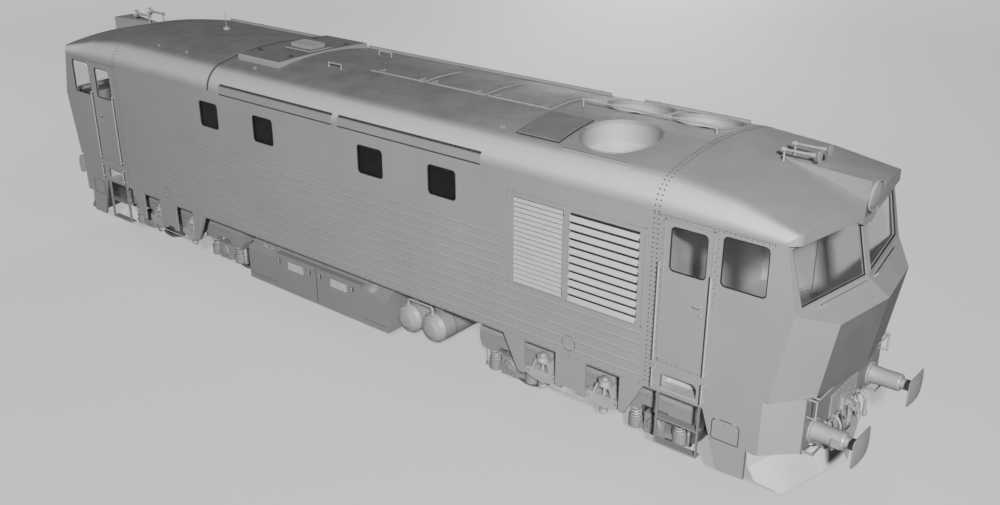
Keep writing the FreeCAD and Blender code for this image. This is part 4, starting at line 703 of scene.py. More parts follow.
class Finish(Enum):
    """The locomotive's finishes."""

    # The body paint is darker on the upright end faces below the screens: painted shade.
    BODY = Paint("body_satin_grey", GREY, 0.5, streaks=0.1, dust=0.16, inside=CABIN_LIT_GREY,
                 end_shade=0.75)
    # The walls' inner faces take the near-black room tone: painted shade.
    WALL = Paint("wall_satin_grey", GREY, 0.5, streaks=0.12, dust=0.16, inside=ROOM_SHADE,
                 inside_middle=0.0)
    # The cab roofs' inner faces, the brow undersides among them, take a darker grey: painted shade.
    ROOF = Paint("roof_satin_grey", ROOF_GREY, inside=(0.2, 0.202, 0.205), **SOOTY)
    # The engine room roof's inner faces take the near-black room tone: painted shade.
    ROOM_ROOF = Paint("room_roof_satin_grey", ROOF_GREY, inside=ROOM_SHADE, inside_middle=0.0,
                      **SOOTY)
    # The cab floors and bulkheads take the lighter cab grey: painted light.
    CABIN = Paint("cabin_lit_grey", CABIN_LIT_GREY, 0.5, wear=0.4, dust=0.3)
    BODY_TRIM = Paint("body_trim_grey", GREY, 0.5, dust=0.12)
    ROOF_TRIM = Paint("roof_trim_grey", ROOF_GREY, 0.5, dust=0.7, ledge=0.9, **SOOT)
    # The end plates are darker where they face along the locomotive: painted shade.
    END = Paint("end_plate_grey", (0.37, 0.375, 0.38), 0.5, wear=0.5, dust=0.35, end_shade=0.6)
    PLOUGH = Paint("plough_grey", (0.52, 0.524, 0.53), 0.48, wear=0.5, dust=0.3,
                   dust_reach=0.8)
    FRAME = Paint("frame_grey", (0.29, 0.293, 0.3), 0.52, wear=0.45, dust=0.4, cast=0.25)
    BOGIE = Paint("bogie_casting_grey", (0.31, 0.313, 0.318), 0.52, wear=0.5, dust=0.55, cast=0.7)
    # Near-black: painted shade where it is laid into slots, recesses and shadow lines, and the dark
    # of real seams.
    INNER = Paint("inner_shade_and_seam_dark", (0.045, 0.045, 0.047), 0.62, wear=0.2, dust=0.1)
    ENGINE = Paint("engine_dark_grey", (0.05, 0.05, 0.052), 0.6, cast=0.5, dust=0.1)
    GRILLE = Paint("grille_sheet_grey", (0.46, 0.464, 0.47), 0.42, wear=0.5, wear_width=0.004,
                   dust=0.22)
    WELL = Paint("fan_well_grey", (0.42, 0.42, 0.425), 0.45, wear=0.3)
    ROTOR = Paint("rotor_cast_metal", (0.35, 0.35, 0.355), 0.4, metallic=0.7, cast=0.3, dust=0.2)
    # Rivet, bolt and strap heads are near-black, standing for the small shadows they cast: painted
    # shade.
    RIVET = Paint("rivet_head_shade_dark", (0.08, 0.081, 0.083), 0.5, wear=0.2, dust=0.3)
    RAIL = Paint("rail_tube_grey", (0.4, 0.405, 0.41), 0.4, wear=0.5, wear_width=0.004, dust=0.12)
    BUFFER = Paint("buffer_forged_grey", (0.38, 0.384, 0.39), 0.42, wear=0.6, dust=0.3, cast=0.2)
    SPRING = Paint("spring_grey", (0.45, 0.452, 0.456), 0.42, wear=0.5, dust=0.4)
    WHEEL = Paint("wheel_steel", (0.3, 0.3, 0.305), 0.42, metallic=0.6, dust=0.5, cast=0.3)
    RUBBER = Paint("black_rubber", (0.018, 0.018, 0.019), 0.6, wear=0.1, rubbed=(0.06, 0.06, 0.06),
                   dust=0.15)
    GLASS = Pane("window_glass", (0.86, 0.9, 0.9), cover=0.12)
    ROOM_GLASS = Pane("smoked_glass", (0.05, 0.055, 0.055), cover=0.85)
    LENS = Pane("lamp_lens_glass", (0.9, 0.92, 0.93), 0.75)


class Slot(Enum):
    """The record's material slots, each under the name of the finish that it takes."""

    BODY = "body_paint"
    ROOF = "roof_paint"
    END = "end_paint"
    FRAME = "frame_paint"
    BOGIE = "bogie_paint"
    INNER = "inner_paint"
    ENGINE = "engine_paint"
    GRILLE = "grille_metal"
    ROTOR = "rotor_metal"
    RAIL = "rail_metal"
    BUFFER = "buffer_steel"
    SPRING = "spring_steel"
    WHEEL = "wheel_steel"
    GLASS = "glass"
    LENS = "lens_glass"


# ---- mesh helpers


def placed(name: str, data: bpy.types.ID) -> bpy.types.Object:
    """Puts a mesh, a lamp or a camera into the scene.

    Args:
        name: the object's name.
        data: what it shows.

    Returns:
        The new object.
    """
    made = bpy.data.objects.new(name, data)
    bpy.context.scene.collection.objects.link(made)
    return made


def circle(count: int, radius: float = 1.0, start: float = 0.0) -> list[Pair]:
    """Finds even points round a circle.

    Args:
        count: number of points.
        radius: radius of the circle.
        start: share of a step by which the first point is turned on.

    Returns:
        The points, from the middle of the circle.
    """
    turns = [math.tau * (step + start) / count for step in range(count)]
    return [(radius * math.cos(turn), radius * math.sin(turn)) for turn in turns]


def spaced(start: float, end: float, pitch: float) -> list[float]:
    """Evenly spaced numbers from start to end, about a pitch apart."""
    count = max(round(abs(end - start) / pitch), 1)
    return [start + (end - start) * i / count for i in range(count + 1)]


def rounded(line: list[Vector], bend: float, closed: bool = False, steps: int = 5) -> list[Vector]:
    """Rounds the corners of a line.

    Args:
        line: its corners.
        bend: radius of each corner, made smaller where a run is short.
        closed: treats the line as a loop.
        steps: points on each corner.

    Returns:
        The line with its corners rounded.
    """
    nothing, nearly_straight, share_of_run = 1e-9, 0.02, 0.48
    if not bend or len(line) < 3:
        return line
    result = [] if closed else [line[0]]
    indices = range(len(line)) if closed else range(1, len(line) - 1)
    for i in indices:
        here = line[i]
        back = line[i - 1] - here
        ahead = line[(i + 1) % len(line)] - here
        if back.length < nothing or ahead.length < nothing:
            continue
        half = back.angle(ahead) / 2
        if half > math.pi / 2 - nearly_straight:
            result.append(here)
            continue
        reach = min(bend / math.tan(half), back.length * share_of_run,
                    ahead.length * share_of_run)
        start = here + back.normalized() * reach
        end = here + ahead.normalized() * reach
        for step in range(steps + 1):
            t = step / steps
            result.append(start.lerp(here, t).lerp(here.lerp(end, t), t))
    return result if closed else result + [line[-1]]


class Draft:
    """A mesh in the making, in metres, in the locomotive's frame."""

    def __init__(self) -> None:
        """Starts an empty mesh."""
        self.mesh = bmesh.new()

    def block(self, low: Point, high: Point) -> None:
        """Adds a box between two corners.

        Args:
            low: lowest corner.
            high: highest corner.
        """
        x, y, z = zip(low, high)
        ring = ((0, 0), (1, 0), (1, 1), (0, 1))
        self.loft([[(x[i], y[j], z[k]) for i, j in ring] for k in (0, 1)])

    def loft(self, rings: Sequence[Sequence[Point]], closed: bool = False) -> None:
        """Joins rings of equal length with quads.

        Args:
            rings: the rings, in order.
            closed: joins the last ring to the first, in place of faces over both ends.
        """
        made = [[self.mesh.verts.new(point) for point in ring] for ring in rings]
        pairs = list(zip(made, made[1:])) + ([(made[-1], made[0])] if closed else [])
        for first, second in pairs:
            for a in range(len(first)):
                b = (a + 1) % len(first)
                self.mesh.faces.new((first[a], first[b], second[b], second[a]))
        if not closed:
            self.mesh.faces.new(list(reversed(made[0])))
            self.mesh.faces.new(made[-1])

    def strip(self, seats: Sequence[Seat], across: Point, half: float, sunk: float,
              proud: float) -> None:
        """Lays a flat strip along a row of seats.

        Args:
            seats: points on the strip's middle line, with their normals.
            across: direction of its width.
            half: half of its width.
            sunk: how deep it goes into the skin.
            proud: how far it stands out of the skin.
        """
        section = ((-half, -sunk), (half, -sunk), (half, proud), (-half, proud))
        self.loft([[point + Vector(across) * side + normal * lift for side, lift in section]
                   for point, normal in seats])

    def lathe(self, at: Point, axis: Point, profile: Pairs, sides: int = 20) -> None:
        """Adds a turned shape.

        Args:
            at: origin of the axis.
            axis: its direction.
            profile: (along, radius) pairs.
            sides: facets round the axis.
        """
        thinnest = 1e-4
        turn = Vector(UP).rotation_difference(Vector(axis))
        self.loft([[Vector(at) + turn @ Vector((u, v, along))
                    for u, v in circle(sides, max(radius, thinnest))]
                   for along, radius in profile])

    def rivet(self, at: Point, normal: Point, radius: float = 0.010,
              height: float = 0.005) -> None:
        """Adds a round rivet head.

        Args:
            at: its place on the sheet.
            normal: direction out of the sheet.
            radius: head radius.
            height: head height.
        """
        self.lathe(at, normal, ((-0.002, radius), (height * 0.45, radius * 0.94),
                                (height, radius * 0.5)), 7)

    def rivets(self, seats: Iterable[Optional[Seat]], radius: float = 0.010,
               height: float = 0.005,
               wanted: Callable[[Vector], bool] = lambda place: True) -> None:
        """Adds a rivet at every seat that was found.

        Args:
            seats: where they go.
            radius: head radius.
            height: head height.
            wanted: tells whether a place takes a rivet.
        """
        for seat in seats:
            if seat and wanted(seat[0]):
                self.rivet(*seat, radius, height)

    def nut(self, at: Point, normal: Point, radius: float = 0.016,
            height: float = 0.012) -> None:
        """Adds a hexagon head with a washer under it.

        Args:
            at: its place on the plate.
            normal: direction out of the plate.
            radius: corner radius of the hexagon.
            height: height of the head.
        """
        washer = 0.003
        self.lathe(at, normal, ((-0.001, radius * 1.25), (washer, radius * 1.25)), 14)
        self.lathe(at, normal, ((washer, radius), (height * 0.85, radius), (height, radius * 0.8)),
                   6)

    def tube(self, points: Sequence[Point], radius: float, sides: int = 8, bend: float = 0.0,
             closed: bool = False) -> None:
        """Sweeps a round section along a line with rounded bends.

        Args:
            points: corners of the line.
            radius: tube radius.
            sides: facets round the tube.
            bend: radius of the bends.
            closed: joins the end to the start.
        """
        line = rounded([Vector(point) for point in points], bend, closed)
        count = len(line)
        rings = []
        side: Optional[Vector] = None
        for i, point in enumerate(line):
            before = line[i - 1] if i or closed else point
            after = line[(i + 1) % count] if i < count - 1 or closed else point
            run = (after - before).normalized()
            if side is None:
                side = run.orthogonal().normalized()
            side = (side - run * side.dot(run)).normalized()
            up = run.cross(side)
            rings.append([point + side * u + up * v for u, v in circle(sides, radius)])
        self.loft(rings, closed=closed)

    def coil(self, at: Point, height: float, radius: float, wire: float, turns: float) -> None:
        """Adds an upright coil spring with flattened ends.

        Args:
            at: middle of its foot.
            height: overall height.
            radius: radius of the coil's centre line.
            wire: radius of the wire.
            turns: number of turns.
        """
        steps_a_turn, flat_turns = 20, 0.75
        steps = int(turns * steps_a_turn)
        line = []
        for i in range(steps + 1):
            share = i / steps
            climb = (share * turns - flat_turns) / (turns - 2 * flat_turns)
            turn = math.tau * turns * share
            line.append(Vector(at) + Vector((
                radius * math.cos(turn), radius * math.sin(turn),
                wire + (height - 2 * wire) * min(max(climb, 0.0), 1.0))))
        self.tube(line, wire)

    def mirrored(self, across: bool = True, along: bool = True) -> "Draft":
        """Adds mirror images of everything so far.

        Args:
            across: mirrors to the other side.
            along: mirrors to the other end.

        Returns:
            The draft itself.
        """
        for wanted, scale in ((across, (1, -1, 1)), (along, (-1, 1, 1))):
            if not wanted:
                continue
            copy = bmesh.ops.duplicate(self.mesh, geom=list(self.mesh.verts)
                                       + list(self.mesh.edges) + list(self.mesh.faces))["geom"]
            verts = [item for item in copy if isinstance(item, bmesh.types.BMVert)]
            faces = [item for item in copy if isinstance(item, bmesh.types.BMFace)]
            bmesh.ops.scale(self.mesh, vec=scale, verts=verts)
            bmesh.ops.reverse_faces(self.mesh, faces=faces)
        return self

    def piece(self, name: str, finish: Finish, slot: Optional[Slot] = None, body: str = BODY,
              smooth: float = 0.6, bevel: float = 0.0, replaces: Sequence[str] = ()) -> None:
        """Turns the draft into a finished piece of the locomotive.

        Args:
            name: the piece's name.
            finish: its finish.
            slot: the record's material slot, where the finish isn't a slot's own; not used.
            body: the CAD body that it rides on.
            smooth: edges flatter than this angle are shaded smooth.
            bevel: width of a rounded edge, or 0.
            replaces: CAD nodes that it stands for.
        """
        bmesh.ops.recalc_face_normals(self.mesh, faces=self.mesh.faces)
        data = bpy.data.meshes.new(name)
        self.mesh.to_mesh(data)
        self.mesh.free()
        data.materials.append(finish.value.material())
        data.shade_smooth()
        data.set_sharp_from_angle(angle=smooth)
        made = placed(name, data)
        if bevel:
            rounding = made.modifiers.new("rounded_edges", "BEVEL")
            rounding.width = bevel
            rounding.segments = 2
            rounding.limit_method = "ANGLE"
            rounding.angle_limit = 0.6
        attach(made, body)
        if replaces:
            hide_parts(*replaces)
        log.info("%-28s %-16s %6d faces", name, body, len(data.polygons))


class Surface:
    """The skin of some CAD nodes, to seat details on it."""

    def __init__(self, *names: str) -> None:
        """Gathers the nodes' faces.

        Args:
            names: CAD nodes that make up the skin.
        """
        points: list[Vector] = []
        faces: list[list[int]] = []
        for name in names:
            data = frame["nodes"][name].data
            start = len(points)
            points += [vertex.co.copy() for vertex in data.vertices]
            faces += [[start + index for index in polygon.vertices] for polygon in data.polygons]
        self.tree = BVHTree.FromPolygons(points, faces)

    def seat(self, origin: Point, direction: Point) -> Optional[Seat]:
        """Finds where a ray first meets the skin.

        Args:
            origin: start of the ray, outside the skin.
            direction: the ray's direction.

        Returns:
            The point and the normal that faces the ray, or None.
        """
        place, normal, _, _ = self.tree.ray_cast(Vector(origin), Vector(direction).normalized())
        if place is None:
            return None
        if normal.dot(Vector(direction)) > 0:
            normal = -normal
        return place, normal

    def beside(self, x: float, z: float, side: int = -1) -> Optional[Seat]:
        """Finds the skin from beside the locomotive, on the right unless side is 1."""
        return self.seat((x, 3 * side, z), (0, -side, 0))

    def above(self, x: float, y: float) -> Optional[Seat]:
        """Finds the skin from above."""
        return self.seat((x, y, 5), DOWN)

    def ahead(self, y: float, z: float) -> Optional[Seat]:
        """Finds the skin from ahead of the front end."""
        return self.seat((8.9, y, z), BACK)

    def around(self, x: float, degrees: float) -> Optional[Seat]:
        """Finds the skin of the arched roof from outside.

        Args:
            x: place along the locomotive.
            degrees: 0 looks level at the right eave, 90 looks down on the crown.

        Returns:
            The point and its normal, or None.
        """
        turn = math.radians(degrees)
        out = Vector((0, -math.cos(turn), math.sin(turn)))
        return self.seat(Vector((x, 0, 2.6)) + out * 4, -out)


def on_wall(place: Vector) -> bool:
    """Tells whether a place lies on the flat of the right wall."""
    return abs(place.y - WALL) < 0.01


def pane_loops(name: str) -> list[tuple[list[Vector], Vector]]:
    """Finds the outline of each pane in a glass node, on the pane's outer face.

    Args:
        name: the glass node.

    Returns:
        A list of (outline, outward normal).
    """
    room_end, cab_middle, same_way = 5.6, 6.5, 0.98
    mesh = bmesh.new()
    mesh.from_mesh(frame["nodes"][name].data)
    bmesh.ops.remove_doubles(mesh, verts=mesh.verts, dist=1e-5)
    mesh.normal_update()
    left = dict.fromkeys(mesh.faces)
    found = []
    while left:
        island = [left.popitem()[0]]
        for face in island:
            for edge in face.edges:
                for other in edge.link_faces:
                    if other in left:
                        del left[other]
                        island.append(other)
        areas: dict[Triple, float] = defaultdict(float)
        for face in island:
            areas[tuple(round(part, 2) + 0.0 for part in face.normal)] += face.calc_area()
        middle = sum((face.calc_center_median() for face in island), Vector()) / len(island)
        away = Vector((0.0, middle.y, 0.0))
        if abs(middle.x) >= room_end:
            away.x = math.copysign(max(abs(middle.x) - cab_middle, 0.0), middle.x)
        widest = sorted(areas, key=lambda way: -areas[way])[:2]
        normal = max((Vector(way) for way in widest), key=away.dot).normalized()
        chosen = [face for face in island if face.normal.dot(normal) > same_way]
        follow: dict[bmesh.types.BMVert, bmesh.types.BMVert] = {}
        for face in chosen:
            for loop in face.loops:
                if not any(other in chosen for other in loop.edge.link_faces if other is not face):
                    follow[loop.vert] = loop.link_loop_next.vert
        start = next(iter(follow))
        outline = [start.co.copy()]
        step = follow[start]
        while step is not start and len(outline) < len(follow) + 1:
            outline.append(step.co.copy())
            step = follow[step]
        found.append((outline, normal))
    mesh.free()
    return found


# ---- sub-assemblies


@dataclass
class NodeFinishes:
    """Gives every CAD node its finish: its own one, or else that of its material slot."""

    by_node: tuple[tuple[str, Finish], ...] = (
        ("side_wall_right", Finish.WALL), ("side_wall_left", Finish.WALL),
        ("centre_roof", Finish.ROOM_ROOF), ("fan_wells", Finish.WELL),
        # The cab floors and bulkheads get the lighter cab grey: painted light.
        ("cab_floors", Finish.CABIN), ("bulkheads", Finish.CABIN),
        ("engine_room_glass", Finish.ROOM_GLASS),
        ("roof_fittings", Finish.ROOF_TRIM), ("exhaust_hatch", Finish.ROOF_TRIM),
        # The hangers take the lighter spring grey and the air reservoirs the lighter buffer grey,
        # so that they read brightly lit: painted light.
        ("ploughs", Finish.PLOUGH), ("hangers_front", Finish.SPRING),
        ("hangers_rear", Finish.SPRING), ("air_reservoirs", Finish.BUFFER))

    def build(self) -> None:
        """Assigns the materials."""
        special = dict(self.by_node)
        for part in frame["record"]["subparts"]:
            finish = special.get(part["node"], Finish[Slot(part["material_slot"]).name])
            node = frame["nodes"][part["node"]]
            material = finish.value.material()
            for place in node.material_slots:
                place.material = material
            if not node.material_slots:
                node.data.materials.append(material)
            log.info("%-28s %s", part["node"], material.name)


@dataclass
class SideRibs:
    """Long pressed beads that stiffen the engine room walls."""

    top: float = 2.655
    pitch: float = 0.1445
    rows: int = 10
    rear: float = -5.6
    front: float = 5.6
    under_grille: float = 0.06
    behind_grille: float = 0.13
    rise: float = 0.008
    sunk: float = 0.002
    half_height: float = 0.011
    run_out: Pairs = ((0.0, 0.05), (0.02, 0.75), (0.05, 1.0))
    section: tuple[float, ...] = (60.0, 25.0, -10.0, -45.0, -75.0)

    def bead(self, draft: Draft, front: float, z: float) -> None:
        """Adds one bead with ends that run out into the sheet.

        Args:
            draft: where it goes.
            front: its front end.
            z: its middle height.
        """
        places = [(self.rear + inset, share) for inset, share in self.run_out]
        places += [(front - inset, share) for inset, share in reversed(self.run_out)]
        rings = []
        for x, share in places:
            half = self.half_height * share
            ring = [(x, WALL + self.sunk, z - half), (x, WALL + self.sunk, z + half)]
            for turn in map(math.radians, self.section):
                ring.append((x, WALL - self.rise * share * math.cos(turn),
                             z + half * math.sin(turn)))
            rings.append(ring)
        draft.loft(rings)

    def build(self) -> None:
        """Builds the beads of both walls."""
        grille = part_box("side_grille_right")[0]
        draft = Draft()
        for row in range(self.rows):
            z = self.top - self.pitch * row
            clear = z < grille.z - self.under_grille
            self.bead(draft, self.front if clear else grille.x - self.behind_grille, z)
        draft.mirrored(along=False).piece("side_ribs", Finish.BODY_TRIM, Slot.BODY, smooth=0.9)


@dataclass
class RivetBands:
    """Rivets over the roof joints, along the roof seams, round the doors and on the skirts."""

    seam: float = 5.71
    pitch: float = 0.062
    row_gap: float = 0.062
    seam_z: Pair = (1.32, 3.54)
    seam_arch: Triple = (2.0, 90.0, 1.9)
    shoulder_seam: float = 0.9
    shoulder_rows: Pairs = ((-5.55, -2.98), (-1.6, 3.25))
    sheet_joint: float = -2.9
    joint_arch: Triple = (24.0, 90.0, 2.2)
    small: Pair = (0.007, 0.003)
    flat: Pair = (0.008, 0.0035)
    door_rows: tuple[tuple[float, Triple], ...] = (
        (3.546, (5.77, 7.2, 0.034)), (3.528, (5.77, 7.2, 0.068)), (1.645, (5.86, 6.46, 0.06)))
    door_columns: tuple[Triple, ...] = (
        (5.805, 1.70, 3.48), (5.785, 1.75, 3.43), (6.512, 2.60, 3.48), (6.533, 2.65, 3.43))
    column_pitch: float = 0.105
    wall_foot: float = 1.245
    skirt_foot: float = 0.03
    opening_ring: Pair = (4.503, 1.425)
    ring_radius: float = 0.105
    ring_dashes: int = 14

    def over_roof(self) -> None:
        """Double rows that run over the roof and down the walls at each cab joint."""
        skin = Surface("centre_roof", "cab_roof_front", "side_wall_right", "cab_shell_front")
        draft = Draft()
        for x in (self.seam - self.row_gap / 2, self.seam + self.row_gap / 2):
            draft.rivets((skin.beside(x, z) for z in spaced(*self.seam_z, self.pitch)),
                         wanted=on_wall)
            draft.rivets((skin.around(x, degrees) for degrees in spaced(*self.seam_arch)),
                         wanted=lambda place: place.z > EAVE)
        draft.mirrored().piece("joint_rivets", Finish.RIVET, Slot.ROOF)

    def along_roof(self) -> None:
        """Single rows along the roof sheets and a flat strip over the sheet joint."""
        skin = Surface("centre_roof")
        draft = Draft()
        for start, end in self.shoulder_rows:
            draft.rivets((skin.above(x, -self.shoulder_seam) for x in spaced(start, end, 0.075)),
                         *self.flat)
        seats = [skin.around(self.sheet_joint, degrees) for degrees in spaced(*self.joint_arch)]
        draft.strip([seat for seat in seats if seat], AHEAD, half=0.02, sunk=0.004, proud=0.004)
        draft.mirrored(along=False).piece("roof_seams", Finish.RIVET, Slot.ROOF)

    def round_doors(self) -> None:
        """Rivets above the doors and windows and on both sides of each door."""
        skin = Surface("cab_shell_front")
        places = [(x, z) for z, row in self.door_rows for x in spaced(*row)]
        places += [(x, z) for x, low, high in self.door_columns
                   for z in spaced(low, high, self.column_pitch)]
        draft = Draft()
        draft.rivets((skin.beside(x, z) for x, z in places), *self.small,
                     wanted=lambda place: place.y < -1.5)
        draft.mirrored().piece("door_rivets", Finish.RIVET, Slot.BODY)

    def on_skirts(self) -> None:
        """Rivets along the foot of the walls and round the skirt openings."""
        skin = Surface("side_wall_right")
        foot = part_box("side_wall_right")[0].z + self.skirt_foot
        places = [(x, self.wall_foot) for x in spaced(-5.6, 5.6, 0.12)]
        places += [(x, foot) for x in spaced(3.4, 5.6, 0.1) + spaced(-5.6, -3.4, 0.1)]
        draft = Draft()
        draft.rivets((skin.beside(x, z) for x, z in places), *self.small, wanted=on_wall)
        for way in BOTH:
            centre = Vector((self.opening_ring[0] * way, WALL, self.opening_ring[1]))
            for step in range(self.ring_dashes):
                turns = [math.tau * (step + 0.5) / self.ring_dashes + part
                         for part in (-0.13, 0.0, 0.13)]
                draft.tube([centre + self.ring_radius * Vector((math.cos(turn), 0, math.sin(turn)))
                            for turn in turns], 0.006, 6)
        draft.mirrored(along=False).piece("skirt_rivets", Finish.RIVET, Slot.BODY)

    def build(self) -> None:
        """Builds all rivet bands."""
        self.over_roof()
        self.along_roof()
        self.round_doors()
        self.on_skirts()


@dataclass
class Seals:
    """Rubber seals round every pane."""

    radius: float = 0.011
    inset: float = 0.4
    proud: float = 0.5

    def around(self, node: str, name: str, body: str) -> None:
        """Builds the seals of one glass node.

        Args:
            node: the glass node.
            name: name of the new piece.
            body: body that carries the glass.
        """
        draft = Draft()
        for outline, normal in pane_loops(node):
            middle = sum(outline, Vector()) / len(outline)
            draft.tube([point + (middle - point).normalized() * self.radius * self.inset
                        + normal * self.radius * self.proud for point in outline],
                       self.radius, closed=True)
        draft.piece(name, Finish.RUBBER, Slot.BODY, body)

    def build(self) -> None:
        """Builds the seals of all the windows."""
        self.around("cab_glass", "cab_window_seals", BODY)
        self.around("engine_room_glass", "engine_room_seals", BODY)
        for door, _ in DOORS:
            self.around(f"door_glass_{door}", f"door_seal_{door}", f"door_{door}")


@dataclass
class DoorTrim:
    """Kick plate rivets, lock and screws on each cab door."""

    lock: Pair = (6.367, 2.42)
    lock_profile: Pairs = ((-0.001, 0.026), (0.005, 0.026), (0.008, 0.02), (0.008, 0.006),
                             (0.012, 0.006), (0.012, 0.001))
    screw: Pair = (0.006, 0.0025)
    kick_z: float = 1.757
    kick_x: Triple = (5.90, 6.42, 0.052)
    lock_screws: Triple = (0.19, -0.06, -0.12)
    rear_edge: float = 5.875
    edge_z: Triple = (1.8, 2.80, 0.5)

    def build(self) -> None:
        """Builds the fittings of the four doors."""
        lock_x, lock_z = self.lock
        places = [(x, self.kick_z) for x in spaced(*self.kick_x)]
        places += [(lock_x, lock_z + rise) for rise in self.lock_screws]
        places += [(self.rear_edge, z) for z in spaced(*self.edge_z)]
        for door, scale in DOORS:
            draft = Draft()
            draft.lathe((lock_x, WALL, lock_z), OUTWARD, self.lock_profile, 18)
            for x, z in places:
                draft.rivet((x, WALL, z), OUTWARD, *self.screw)
            bmesh.ops.scale(draft.mesh, vec=scale, verts=draft.mesh.verts)
            draft.piece(f"door_fittings_{door}", Finish.BODY_TRIM, Slot.BODY, f"door_{door}")


@dataclass
class DoorFrames:
    """Thin cover strips round the door openings that hide the gap of the leaf."""

    rear: float = 5.835
    front: float = 6.48
    low: float = 1.672
    high: float = 3.515
    inner: float = 0.0143
    outer: float = 0.0117
    proud: float = 0.0045
    clear: float = 0.0006

    def build(self) -> None:
        """Builds the strips of the four doors."""
        draft = Draft()
        y = (WALL - self.proud, WALL - self.clear)
        rear, front = self.rear - self.outer, self.front + self.outer
        draft.block((rear, y[0], self.low), (self.rear + self.inner, y[1], self.high))
        draft.block((self.front - self.inner, y[0], self.low), (front, y[1], self.high))
        draft.block((rear, y[0], self.high - self.inner), (front, y[1], self.high + self.outer))
        draft.block((rear, y[0], self.low - self.outer), (front, y[1], self.low + self.inner))
        draft.mirrored().piece("door_frames", Finish.BODY_TRIM, Slot.BODY, bevel=0.0015)


@dataclass
class GrilleTrim:
    """Frames, handles and screws of the side grilles, and painted shade under the louvre lips."""

    rear: float = 3.482
    front: float = 5.583
    low: float = 2.025
    high: float = 3.322
    bar: float = 0.012
    screw: Pair = (0.006, 0.003)
    handle_x: float = 4.405
    handle_feet: tuple[float, ...] = (3.20, 2.11)
    coarse_rear: float = 4.474
    coarse_front: float = 5.497
    coarse_blades: int = 11
    blade_slope: float = 1.77
    shade_reach: Pair = (0.034, 0.050)
    shade_depth: float = 0.004
    clear: float = 0.002

    def frames(self) -> None:
        """Flat bars round the grilles, with handles and screws."""
        draft = Draft()
        half = self.bar / 2
        corners = ((self.rear, self.low), (self.front, self.low), (self.front, self.high),
                   (self.rear, self.high))
        for one, other in zip(corners, corners[1:] + corners[:1]):
            a, b = sorted((one, other))
            draft.block((a[0] - half, WALL - 0.004, a[1] - half),
                        (b[0] + half, WALL + 0.002, b[1] + half))
        x, out = self.handle_x, WALL - 0.03
        for z in self.handle_feet:
            draft.tube([(x, WALL, z), (x, out, z), (x, out, z + 0.10), (x, WALL, z + 0.10)],
                       0.007, bend=0.015)
        places = [(x, z) for z in spaced(2.08, 3.27, 0.17)
                  for x in (self.front - 0.05, self.rear + 0.045)]
        places += [(x, z) for x in spaced(3.54, 5.53, 0.17)
                   for z in (self.high - 0.03, self.low + 0.03)]
        for x, z in places:
            draft.rivet((x, WALL, z), OUTWARD, *self.screw)
        draft.mirrored(along=False).piece("grille_frames", Finish.BODY_TRIM, Slot.BODY)

    def seals(self) -> None:
        """Near-black strips in the black rubber finish on each coarse blade where it goes in under
        the next one: painted shade for the shadow of the lip.
        """
        low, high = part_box("side_grille_right")
        pitch = (high.z - low.z + 0.006) / self.coarse_blades
        draft = Draft()
        for number in range(self.coarse_blades):
            foot = low.z - self.clear + pitch * number
            line = [(WALL - 0.028 + inward, foot + 0.0155 + self.blade_slope * inward)
                    for inward in self.shade_reach]
            line += [(y + self.shade_depth, z - self.shade_depth) for y, z in reversed(line)]
            draft.loft([[(x, y, z) for y, z in line]
                        for x in (self.coarse_rear + self.clear, self.coarse_front - self.clear)])
        draft.mirrored(along=False).piece("louvre_lip_shade", Finish.RUBBER, Slot.INNER)

    def build(self) -> None:
        """Builds the trim of both walls."""
        self.frames()
        self.seals()


